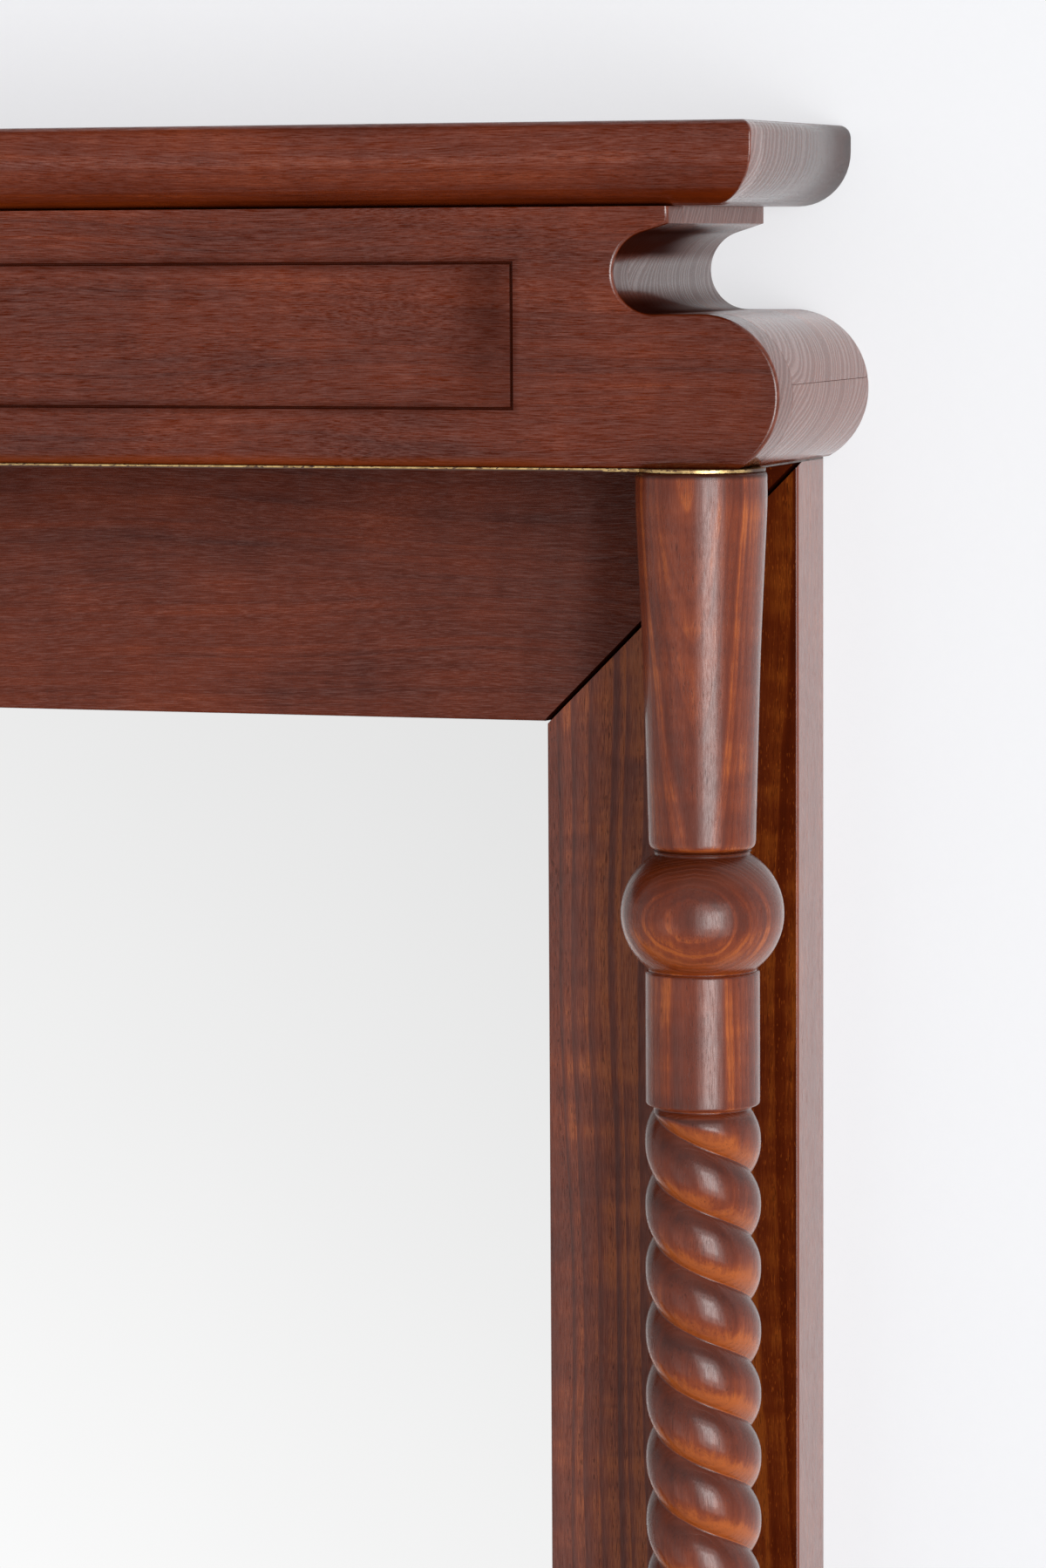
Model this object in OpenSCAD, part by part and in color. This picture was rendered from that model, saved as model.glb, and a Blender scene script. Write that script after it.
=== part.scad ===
// Overmantel mirror with rope-twist columns. All sizes are in millimetres.
//
// A mitred frame of flat boards holds the glass and stands on the base board. A box frieze with S-shaped
// ends lies on the frame and carries the crown board. A round turned column stands free at each side,
// between the base board and the overhanging front of the frieze.
//
// Inside the modules the wall is the plane y = 0 and the front is negative y; x = 0 is the middle and
// z = 0 is the surface that the base board stands on. from_wall() then moves every piece so that the
// origin lies below the middle of the object's depth.

/* [Frame] */
// Width of the frame over its two stiles
frame_w = 1100; // [900:10:1400]
// Height of the frame over its two rails
frame_h = 800; // [720:10:1100]
// Width of each frame member, seen from the front
member_w = 95; // [90:1:120]
// Thickness of the frame members, from the wall to their front face
member_t = 34; // [32:1:40]
// Radius that eases the long front edges of the frame members
member_edge = 1.2; // [0.8:0.1:2]
// Width of the V that is left open along each mitre
mitre_gap = 1.8; // [1:0.1:2.5]
// Depth of the same V
mitre_gap_d = 5; // [3:0.5:8]

/* [Glass] */
// Thickness of the mirror glass
glass_t = 4; // [3:1:5]
// Distance from the frame's front face back to the glass
glass_set_back = 10; // [8:1:11]
// How far the rebate for the glass reaches under the frame members
glass_bite = 12; // [8:1:16]
// Width of the second step, which the backing board is screwed to
shoulder_w = 12; // [10:1:16]
// Thickness of the backing board
backing_t = 6; // [4:1:8]

/* [Frieze] */
// Height of the frieze
frieze_h = 90; // [86:1:100]
// Depth of the frieze, from the wall to its front face
frieze_d = 119; // [114:1:121]
// Thickness of the front board of the frieze
front_board_t = 18; // [18:1:20]
// How far the bead at each end reaches past the frame
bead_out = 17; // [12:1:20]
// Radius of the bead
bead_r = 28.3; // [27:0.1:29]
// Radius of the cove above the bead
cove_r = 14.2; // [13:0.1:15]
// How far the deepest line of the cove lies inside the frame's outer edge
cove_in = 42.3; // [40:0.1:46]
// How far the fillet above the cove lies inside the frame's outer edge
fillet_in = 22.4; // [20:0.1:23]
// Height of the fillet
fillet_h = 6; // [4:0.5:8]
// Distance from the frame's outer edge to the end of the grooved panel
panel_in = 78.6; // [70:0.1:110]
// Distance from the bottom of the frieze to the groove's lower line
panel_low = 20; // [14:1:24]
// Distance from the top of the frieze to the groove's upper line
panel_high = 18.7; // [12:0.1:24]
// Width and depth of the groove
groove_w = 1; // [0.6:0.1:2]

/* [Crown and base] */
// Thickness of the crown board and of the base board
board_t = 29; // [26:1:34]
// Depth of the crown board, from the wall to its front edge
crown_d = 130; // [124:1:140]
// How far the crown board reaches past the frame at each end
crown_out = 10.3; // [6:0.1:14]
// Depth of the base board
base_d = 150; // [150:1:170]
// How far the base board reaches past the frame at each end
base_out = 29; // [29:1:40]
// Radius of the large quarter round on both boards
quarter_r = 19.5; // [14:0.5:20]
// Radius of the small round on their other edge
easing_r = 4.5; // [3:0.5:5]

/* [Columns] */
// Distance of the column's axis in front of the wall
column_d = 107; // [106.5:0.1:107.5]
// Distance of the column's axis inside the frame's outer edge
column_in = 14.2; // [14:0.1:20]
// Radius of the column's head at its widest
head_r = 22.8; // [21:0.1:23.4]
// Radius of the plain collar between the ball and the twist
collar_r = 20; // [18.5:0.1:21]
// Radius of the twist over its crests
rope_r = 20.3; // [19:0.1:21]
// Depth of the twist's two grooves
rope_depth = 3.7; // [2:0.1:5]
// Height in which one strand goes once round the column
rope_lead = 45; // [42:0.5:60]

/* [Gilding] */
// Thickness of the gilt slip and of the gilt discs under the columns
gilt_t = 1; // [0.8:0.1:2]
// Radius of the gilding at the columns' ends
gilt_r = 22.3; // [20:0.1:22.5]

/* [Hidden] */
$fn = 96;

// How far cuts run past the faces they open, and the play round pieces that are let in
past = 1;
play = 0.1;

// Heights above the ground, and the middle of the glass
column_foot = board_t + gilt_t;
frame_top = board_t + frame_h;
frame_mid = board_t + frame_h / 2;
frieze_foot = frame_top + gilt_t;
frieze_top = frieze_foot + frieze_h;
column_l = frame_top - column_foot;
column_x = frame_w / 2 - column_in;

// The sight of the glass, and what lies in the rebates round it
sight_w = frame_w - 2 * member_w;
sight_h = frame_h - 2 * member_w;
glass_play = 2;
shoulder_bite = glass_bite + shoulder_w;
glass_over = 2 * (glass_bite - glass_play);
backing_over = 2 * (shoulder_bite - glass_play);
glass_y = glass_set_back - member_t;
shoulder_y = glass_y + glass_t;
backing_y = shoulder_y + backing_t;
pad_l = 60;

// The loose tongues in the mitres: along the mitre, across it, through the wood, and their middle
tongue_size = [24, 4, 50];
tongue_y = -10;
tongue_in = 36;

// The S-shaped end, with x counted from the frame's outer edge and z from the foot of the frieze
slope_h = 2.5;
slope_angle = 18;
cove_x = cove_r - cove_in;
cove_z = frieze_h - fillet_h - slope_h - cove_r;
flat_z = cove_z - cove_r;
bead_x = bead_out - bead_r;
bead_z = flat_z - bead_r;

// The box behind the front board
block_l = 110;
block_d = frieze_d - front_board_t;
seam_z = 28.5;
rail_t = 18;
back_rail_t = 15;
rail_l = frame_w - 2 * block_l;

// The turned profile of the columns, counted along the column from its nearer end
spigot_r = 5;
spigot_l = 20;
head_l = 131;
head_edge = 1.6;
head_foot_r = head_r - 4.2;
head_taper = [[18, head_r - 0.2], [60, head_r - 2.2]];
head_round = 3;
neck_at = 134.4;
neck_r = 17;
ball_mid = 153.8;
ball_half = 18.9;
ball_arc = 24.1;
ball_centre_r = 4.4;
collar_at = 173.4;
collar_end = 221;
collar_edge = 1.3;
rope_at = 222;
rope_neck_r = 17.5;
rope_swell = 8;
rope_power = 2.3;
rope_start_angle = 10.25;

// The rings that a column's surface is drawn through
ring_points = 20;
ring_angle = 360 / ring_points;
edge_steps = 3;
ball_steps = 10;

// Screws: shank radius, lengths and places
screw_r = 2;
plate_screw_r = 1.5;
frame_screw_l = 55;
crown_screw_l = 36;
backing_screw_l = 14;
plate_screw_l = 16;
frame_screw_y = -24;
crown_screw_y = -60;
frame_screw_span = 0.8 * frame_w;
frame_screws = 5;
base_screw_sink = 0.6;

// Keyhole plates let into the backs of the stiles
plate_size = [18, 56];
plate_t = 2;
plate_in = 36;
plate_z = board_t + 0.84 * frame_h;
keyhole_r = 5;
keyhole_drop = 6;
keyslot_r = 2.5;
keyslot_l = 12;
plate_screw_at = 21;
pocket_size = [14, 30];
pocket_d = 12;

// Colours
stain = "#6e3429";
dark_stain = "#5a2a21";
gilt = "#c9a050";
ply = "#b08a5c";
steel = "#9a9a9c";
silver = "#dfe3e6";
cork = "#a5754a";

// ---- Shared shapes and places ----

// Moves what is drawn from the wall so that the origin is below the middle of the depth
module from_wall() {
  translate([0, base_d / 2, 0])
    children();
}

// Stands a shape of the x-z plane up, from y = back towards the front
module upright(back, depth) {
  translate([0, back, 0])
    rotate([90, 0, 0])
      linear_extrude(depth)
        children();
}

// Draws its children on the right, and on the left as their mirror image
module both_sides() {
  children();
  mirror([1, 0, 0])
    children();
}

// Draws its children on the right for side = 1 and mirrored for side = -1
module on_side(side) {
  mirror([1 - side, 0, 0])
    children();
}

// A countersunk wood screw that points up, with the top of its head at z = 0
module screw(length, r, extra = 0) {
  cylinder(h = length + extra, r = r + extra);
  translate([0, 0, -extra])
    cylinder(h = 1.2 * r + extra, r1 = 2 * r + extra, r2 = r + extra);
}

// Even places along a span, from one end to the other
function spread(span, count) = [for (i = [0 : count - 1]) span * (i / (count - 1) - 0.5)];

// ---- Crown board and base board ----

// The outer end of a board, with its edge at x = 0: large round below, small round above
module board_edge(length) {
  difference() {
    translate([-length, 0])
      square([length, board_t]);
    difference() {
      translate([-quarter_r, -past])
        square(quarter_r + past);
      translate([-quarter_r, quarter_r])
        circle(quarter_r);
    }
    difference() {
      translate([-easing_r, board_t - easing_r])
        square(easing_r + past);
      translate([-easing_r, board_t - easing_r])
        circle(easing_r);
    }
  }
}

// A board whose front edge and two ends have that shape
module moulded_board(width, depth) {
  intersection() {
    translate([width / 2, 0, 0])
      rotate([90, 0, -90])
        linear_extrude(width)
          translate([depth, 0])
            board_edge(depth);
    upright(0, depth)
      both_sides()
        translate([width / 2, 0])
          board_edge(width / 2);
  }
}

module crown_board() {
  color(stain)
    from_wall()
      difference() {
        translate([0, 0, frieze_top])
          moulded_board(frame_w + 2 * crown_out, crown_d);
        crown_screw_set(play);
      }
}

// The same shape turned over, so that the large round is above
module base_board() {
  color(stain)
    from_wall()
      difference() {
        translate([0, 0, board_t])
          mirror([0, 0, 1])
            moulded_board(frame_w + 2 * base_out, base_d);
        base_screw_set(play);
        for (x = spread(frame_screw_span, frame_screws))
          translate([x, frame_screw_y, -past])
            cylinder(h = past + base_screw_sink, r = 2 * screw_r + play);
        both_sides()
          translate([column_x, -column_d, board_t - spigot_l - past])
            cylinder(h = spigot_l + 2 * past, r = spigot_r + play);
      }
}

// ---- Frame ----

// Section of a frame member: x counted out from the sight edge, y from the wall
module member_section() {
  difference() {
    translate([0, -member_t])
      square([member_w, member_t]);
    translate([-past, glass_y])
      square([glass_bite + past, member_t]);
    translate([-past, shoulder_y])
      square([shoulder_bite + past, member_t]);
    front_easing(0, 1);
    front_easing(member_w, -1);
  }
}

// What is cut off a long front edge at x = at, where the wood lies towards turn
module front_easing(at, turn) {
  translate([at + turn * member_edge, member_edge - member_t])
    difference() {
      translate([turn > 0 ? -member_edge - past : 0, -member_edge - past])
        square(member_edge + past);
      circle(member_edge);
    }
}

// A mitred member lying along x, its sight edge at z = 0 and its outer edge above
module member(length) {
  difference() {
    intersection() {
      translate([length / 2, 0, 0])
        rotate([0, -90, 0])
          linear_extrude(length)
            member_section();
      upright(past, member_t + 2 * past)
        polygon([
          [-length / 2, member_w],
          [length / 2, member_w],
          [length / 2 - member_w, 0],
          [member_w - length / 2, 0]
        ]);
    }
    both_sides()
      translate([length / 2 - member_w, 0, 0])
        rotate([0, 45, 0])
          translate([0, 0, -past])
            linear_extrude(member_w * sqrt(2) + 2 * past)
              mitre_notch();
  }
}

// The V along a mitre, with x across it
module mitre_notch() {
  widen = (mitre_gap_d + past) / mitre_gap_d * mitre_gap / 2;
  polygon([
    [-widen, -member_t - past],
    [widen, -member_t - past],
    [0, mitre_gap_d - member_t]
  ]);
}

// A loose tongue in each mitre
module tongue_set(extra = 0) {
  for (x = [-1, 1], z = [-1, 1])
    translate([x * (frame_w / 2 - tongue_in), tongue_y, frame_mid + z * (frame_h / 2 - tongue_in)])
      rotate([0, x * z * 45, 0])
        cube(tongue_size + 2 * extra * [1, 1, 1], center = true);
}

module frame_bottom_rail() {
  color(stain)
    from_wall()
      difference() {
        translate([0, 0, board_t + member_w])
          rotate([0, 180, 0])
            member(frame_w);
        tongue_set(play);
        backing_screw_set(play);
        base_screw_set(play);
      }
}

module frame_top_rail() {
  color(stain)
    from_wall()
      difference() {
        translate([0, 0, frame_top - member_w])
          member(frame_w);
        tongue_set(play);
        backing_screw_set(play);
        frieze_screw_set(play);
      }
}

module stile(side) {
  color(stain)
    from_wall()
      difference() {
        translate([side * (frame_w / 2 - member_w), 0, frame_mid])
          rotate([0, side * 90, 0])
            member(frame_h);
        tongue_set(play);
        backing_screw_set(play);
        on_side(side)
          plate_recess();
      }
}

module frame_stile_left() stile(-1);

module frame_stile_right() stile(1);

module mitre_tongues() {
  color(ply)
    from_wall()
      tongue_set();
}

// ---- Glass and backing ----

// A flat sheet behind the sight that reaches under the frame on all sides
module sheet(over, thickness, y) {
  translate([0, y + thickness / 2, frame_mid])
    cube([sight_w + over, thickness, sight_h + over], center = true);
}

module mirror_glass() {
  color(silver)
    from_wall()
      sheet(glass_over, glass_t, glass_y);
}

// Cork pads that carry the glass and centre it
module glass_pads() {
  pad_x = sight_w / 2 + glass_bite - glass_play / 2;
  pad_z = frame_mid - sight_h / 2 - glass_bite + glass_play / 2;
  color(cork)
    from_wall()
      both_sides() {
        translate([sight_w / 4, glass_y + glass_t / 2, pad_z])
          cube([pad_l, glass_t, glass_play], center = true);
        translate([pad_x, glass_y + glass_t / 2, frame_mid])
          cube([glass_play, glass_t, pad_l], center = true);
      }
}

// Screws through the backing board into the shoulder of the rebate
module backing_screw_set(extra = 0) {
  across = sight_w / 2 + glass_bite + shoulder_w / 2;
  up = sight_h / 2 + glass_bite + shoulder_w / 2;
  for (x = spread(0.9 * sight_w, 5), z = [-up, up])
    backing_screw(x, z, extra);
  for (x = [-across, across], z = spread(0.8 * sight_h, 4))
    backing_screw(x, z, extra);
}

module backing_screw(x, z, extra) {
  translate([x, backing_y, frame_mid + z])
    rotate([90, 0, 0])
      screw(backing_screw_l, screw_r, extra);
}

module backing_board() {
  color(ply)
    from_wall()
      difference() {
        sheet(backing_over, backing_t, shoulder_y);
        backing_screw_set(play);
      }
}

module backing_screws() {
  color(steel)
    from_wall()
      backing_screw_set();
}

// ---- Columns ----

// Points along a quarter arc from (r - e, at) out to (r, at + e); turn = -1 runs it inwards instead
function edge_arc(at, r, e, turn = 1) = [
  for (i = [0 : edge_steps])
    let (a = 90 * (turn > 0 ? i : edge_steps - i) / edge_steps)
      [at + e * (turn > 0 ? 1 - cos(a) : cos(a)), r - e + e * sin(a)]
];

// The turned end of a column as [distance from the end, radius], from the spigot to the twist
turned_end = concat(
  [[-spigot_l, spigot_r], [0, spigot_r]],
  edge_arc(0, head_r, head_edge),
  head_taper,
  edge_arc(head_l - head_round + 1, head_foot_r, head_round, -1),
  [[neck_at, neck_r]],
  [for (i = [0 : ball_steps])
    let (d = ball_half * sin(90 * (2 * i / ball_steps - 1)))
      [ball_mid + d, ball_centre_r + sqrt(pow(ball_arc, 2) - pow(d, 2))]],
  edge_arc(collar_at, collar_r, collar_edge),
  edge_arc(collar_end - collar_edge, collar_r, collar_edge, -1),
  [[collar_end + 0.2, rope_neck_r]]
);

// The twist: even rings from one collar to the other
rope_l = column_l - 2 * rope_at;
rope_rings = ceil(rope_l / (rope_lead / ring_points));
function swell_r(d) =
  rope_neck_r + (rope_r - rope_neck_r) * sqrt(1 - pow(1 - min(d / rope_swell, 1), 2));

// Every ring as [distance from the top, radius, twist cut or not]
rings = concat(
  [for (p = turned_end) [p[0], p[1], false]],
  [for (i = [0 : rope_rings])
    let (d = rope_l * i / rope_rings)
      [rope_at + d, swell_r(min(d, rope_l - d)), true]],
  [for (i = [len(turned_end) - 1 : -1 : 0]) [column_l - turned_end[i][0], turned_end[i][1], false]]
);

// The grooves turn with the twist, so that they run along the lines of the net
function groove_angle(at) =
  rope_start_angle + 360 * (min(max(at, rope_at), column_l - rope_at) - rope_at) / rope_lead;

// Distance of a point of the ring from the nearest crest: 0 on a crest, 1 in a groove
function off_crest(i) = abs(4 * (i % (ring_points / 2)) / ring_points - 1);

function ring(p) = [
  for (i = [0 : ring_points - 1])
    let (
      cut = rope_r - rope_depth * pow(off_crest(i), rope_power),
      r = p[2] ? min(p[1], cut) : p[1],
      a = groove_angle(p[0]) + i * ring_angle
    )
      [r * cos(a), r * sin(a), -p[0]]
];

// The right column, its top at z = 0. The left one is its mirror image, and twists the other way.
module turned_column() {
  last = len(rings) - 1;
  polyhedron(
    points = [for (p = rings) each ring(p)],
    faces = concat(
      [[for (i = [0 : ring_points - 1]) i]],
      [for (j = [0 : last - 1], i = [0 : ring_points - 1])
        let (a = j * ring_points + i, b = j * ring_points + (i + 1) % ring_points)
          [a, a + ring_points, b + ring_points]],
      [for (j = [0 : last - 1], i = [0 : ring_points - 1])
        let (a = j * ring_points + i, b = j * ring_points + (i + 1) % ring_points)
          [a, b + ring_points, b]],
      [[for (i = [ring_points - 1 : -1 : 0]) last * ring_points + i]]
    ),
    convexity = 8
  );
}

module column(side) {
  color(stain)
    from_wall()
      on_side(side)
        translate([column_x, -column_d, frame_top])
          turned_column();
}

module column_left() column(-1);

module column_right() column(1);

// ---- Gilding ----

// The round gilding that shows round a column's end, with a hole for the spigot
module gilt_disc(z) {
  translate([column_x, -column_d, z])
    difference() {
      cylinder(h = gilt_t, r = gilt_r);
      translate([0, 0, -past])
        cylinder(h = gilt_t + 2 * past, r = spigot_r + play);
    }
}

module gilt_foot_discs() {
  color(gilt)
    from_wall()
      both_sides()
        gilt_disc(board_t);
}

// A gilt slip under the whole frieze, with round ears over the heads of the columns
module gilt_slip() {
  color(gilt)
    from_wall()
      difference() {
        union() {
          translate([-frame_w / 2, -frieze_d, frame_top])
            cube([frame_w, frieze_d, gilt_t]);
          both_sides()
            translate([column_x, -column_d, frame_top])
              cylinder(h = gilt_t, r = gilt_r);
        }
        both_sides()
          translate([column_x, -column_d, frame_top - past])
            cylinder(h = gilt_t + 2 * past, r = spigot_r + play);
        frieze_screw_set(play);
      }
}

// ---- Frieze ----

// The right half of the frieze seen from the front, with x = 0 at the frame's outer edge
module frieze_end_shape() {
  tangent_x = cove_x - cove_r * sin(slope_angle);
  tangent_z = cove_z + cove_r * cos(slope_angle);
  slope = (frieze_h - fillet_h - tangent_z) / (-fillet_in - tangent_x);
  difference() {
    union() {
      translate([-frame_w / 2, 0])
        square([frame_w / 2 - fillet_in, frieze_h]);
      translate([-frame_w / 2, 0])
        square([frame_w / 2 + bead_x, flat_z]);
      intersection() {
        translate([bead_x, bead_z])
          circle(bead_r);
        translate([bead_x - past, 0])
          square([bead_r + 2 * past, flat_z + past]);
      }
    }
    translate([cove_x, cove_z])
      circle(cove_r);
    polygon([
      [tangent_x, tangent_z],
      [past - fillet_in, frieze_h - fillet_h + past * slope],
      [past - fillet_in, flat_z],
      [cove_x, flat_z],
      [cove_x, cove_z]
    ]);
  }
}

// Outline of a rectangle as a groove
module panel_groove() {
  size = [frame_w - 2 * panel_in, frieze_h - panel_low - panel_high];
  translate([-size[0] / 2, panel_low])
    difference() {
      square(size);
      translate([groove_w, groove_w])
        square(size - 2 * groove_w * [1, 1]);
    }
}

module frieze_front_board() {
  color(stain)
    from_wall()
      difference() {
        translate([0, 0, frieze_foot])
          upright(-block_d, front_board_t)
            both_sides()
              translate([frame_w / 2, 0])
                frieze_end_shape();
        translate([0, 0, frieze_foot])
          upright(groove_w - frieze_d, groove_w + past)
            panel_groove();
        both_sides()
          translate([column_x, -column_d, frieze_foot - past])
            cylinder(h = spigot_l + past, r = spigot_r + play);
      }
}

// One of the two layers of the solid end behind the front board, between two heights
module end_block(side, low, high) {
  color(stain)
    from_wall()
      on_side(side)
        translate([frame_w / 2, 0, frieze_foot])
          upright(0, block_d)
            intersection() {
              frieze_end_shape();
              translate([-block_l, low])
                square([block_l + bead_out + past, high - low]);
            }
}

module frieze_end_lower_left() end_block(-1, 0, seam_z);

module frieze_end_lower_right() end_block(1, 0, seam_z);

module frieze_end_upper_left() end_block(-1, seam_z, frieze_h);

module frieze_end_upper_right() end_block(1, seam_z, frieze_h);

// A rail of the box between the end blocks
module box_rail(depth, height, z) {
  translate([-rail_l / 2, -depth, frieze_foot + z])
    cube([rail_l, depth, height]);
}

module frieze_bottom_rail() {
  color(dark_stain)
    from_wall()
      difference() {
        box_rail(block_d, rail_t, 0);
        frieze_screw_set(play);
      }
}

module frieze_top_rail() {
  color(dark_stain)
    from_wall()
      difference() {
        box_rail(block_d, rail_t, frieze_h - rail_t);
        crown_screw_set(play);
      }
}

module frieze_back_rail() {
  color(dark_stain)
    from_wall()
      box_rail(back_rail_t, frieze_h - 2 * rail_t, rail_t);
}

// ---- Screws that hold the boards ----

// Up through the base board into the bottom rail of the frame
module base_screw_set(extra = 0) {
  for (x = spread(frame_screw_span, frame_screws))
    translate([x, frame_screw_y, base_screw_sink])
      screw(frame_screw_l, screw_r, extra);
}

// Down through the frieze's bottom rail into the top rail of the frame
module frieze_screw_set(extra = 0) {
  for (x = spread(0.95 * rail_l, frame_screws))
    translate([x, frame_screw_y, frieze_foot + rail_t])
      mirror([0, 0, 1])
        screw(frame_screw_l, screw_r, extra);
}

// Up through the frieze's top rail into the crown board
module crown_screw_set(extra = 0) {
  for (x = spread(0.95 * rail_l, frame_screws))
    translate([x, crown_screw_y, frieze_top - rail_t])
      screw(crown_screw_l, screw_r, extra);
}

module base_screws() {
  color(steel)
    from_wall()
      base_screw_set();
}

module frieze_screws() {
  color(steel)
    from_wall()
      frieze_screw_set();
}

module crown_screws() {
  color(steel)
    from_wall()
      crown_screw_set();
}

// ---- Hanger plates ----

// Upright bar with round ends, centred
module round_bar(size) {
  straight = size[1] - size[0];
  square([size[0], straight], center = true);
  for (z = [-straight, straight] / 2)
    translate([0, z])
      circle(size[0] / 2);
}

module keyhole() {
  translate([0, -keyhole_drop])
    circle(keyhole_r);
  translate([-keyslot_r, -keyhole_drop])
    square([2 * keyslot_r, keyslot_l]);
  translate([0, keyslot_l - keyhole_drop])
    circle(keyslot_r);
}

module plate_place() {
  translate([frame_w / 2 - plate_in, 0, plate_z])
    children();
}

module plate_screw_pair(extra = 0) {
  plate_place()
    for (z = [-plate_screw_at, plate_screw_at])
      translate([0, 0, z])
        rotate([90, 0, 0])
          screw(plate_screw_l, plate_screw_r, extra);
}

// What is cut out of the stile for the plate, its screws and the head of the wall screw
module plate_recess() {
  plate_place() {
    upright(past, plate_t + past)
      round_bar(plate_size + 2 * play * [1, 1]);
    upright(past, pocket_d + past)
      round_bar(pocket_size);
  }
  plate_screw_pair(play);
}

module hanger_plate(side) {
  color(steel)
    from_wall()
      on_side(side)
        difference() {
          plate_place()
            upright(0, plate_t)
              difference() {
                round_bar(plate_size);
                keyhole();
              }
          plate_screw_pair(play);
        }
}

module hanger_plate_left() hanger_plate(-1);

module hanger_plate_right() hanger_plate(1);

module hanger_screws() {
  color(steel)
    from_wall()
      both_sides()
        plate_screw_pair();
}

base_board();
gilt_foot_discs();
frame_bottom_rail();
frame_top_rail();
frame_stile_left();
frame_stile_right();
mitre_tongues();
mirror_glass();
glass_pads();
backing_board();
backing_screws();
column_left();
column_right();
gilt_slip();
frieze_front_board();
frieze_end_lower_left();
frieze_end_lower_right();
frieze_end_upper_left();
frieze_end_upper_right();
frieze_bottom_rail();
frieze_top_rail();
frieze_back_rail();
crown_board();
base_screws();
frieze_screws();
crown_screws();
hanger_plate_left();
hanger_plate_right();
hanger_screws();
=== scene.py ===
"""Overmantel mirror with rope-twist columns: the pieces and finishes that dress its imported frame."""

import math

import bmesh
import bpy
from bpy.props import FloatProperty, FloatVectorProperty, IntProperty, PointerProperty
from bpy.types import Operator, Panel, PropertyGroup
from mathutils import Matrix, Vector


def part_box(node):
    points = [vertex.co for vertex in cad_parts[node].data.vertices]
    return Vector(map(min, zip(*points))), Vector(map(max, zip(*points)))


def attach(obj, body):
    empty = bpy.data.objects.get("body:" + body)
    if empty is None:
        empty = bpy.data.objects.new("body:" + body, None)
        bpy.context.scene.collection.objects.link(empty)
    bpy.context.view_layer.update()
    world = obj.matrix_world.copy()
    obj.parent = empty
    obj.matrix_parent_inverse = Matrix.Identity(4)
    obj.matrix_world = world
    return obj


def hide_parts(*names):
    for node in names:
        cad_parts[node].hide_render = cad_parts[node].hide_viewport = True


bl_info = {
    "name": "Overmantel mirror",
    "version": (1, 0, 0),
    "blender": (4, 5, 0),
    "location": "View3D > Sidebar > Overmantel",
    "description": "Models and finishes an overmantel mirror with rope-twist columns",
    "category": "Object",
}

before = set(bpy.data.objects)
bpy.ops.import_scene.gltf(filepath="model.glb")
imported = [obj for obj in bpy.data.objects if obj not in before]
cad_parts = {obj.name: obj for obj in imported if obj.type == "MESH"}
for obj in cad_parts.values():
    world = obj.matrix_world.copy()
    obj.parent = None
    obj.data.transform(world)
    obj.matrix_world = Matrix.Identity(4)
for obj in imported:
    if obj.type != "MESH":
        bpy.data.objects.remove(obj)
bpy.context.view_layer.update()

MM = 0.001
TINY = 0.01 * MM  # points closer together than this are one
BODY = "root"
SIDES = {"right": 1, "left": -1}

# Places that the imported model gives
STILE_LOW, STILE_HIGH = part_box("frame_stile_right")
FRIEZE_LOW, FRIEZE_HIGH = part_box("frieze_front_board")
BLOCK_LOW, BLOCK_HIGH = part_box("frieze_end_lower_right")
COLUMN_LOW, COLUMN_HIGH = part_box("column_right")
FRAME_HALF = STILE_HIGH.x
WALL_Y = STILE_HIGH.y
SEAM_Z = BLOCK_HIGH.z
COLUMN_MID = (COLUMN_LOW + COLUMN_HIGH) / 2


# ---- What a user may change ----


def length(name, description, millimetres):
    """A size in the scene's units, given in millimetres."""
    return FloatProperty(
        name=name, description=description, default=millimetres * MM, min=0, unit="LENGTH", precision=4
    )


def paint(name, description, colour):
    """A linear colour."""
    return FloatVectorProperty(
        name=name, description=description, default=colour, size=3, min=0, max=1, subtype="COLOR"
    )


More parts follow.
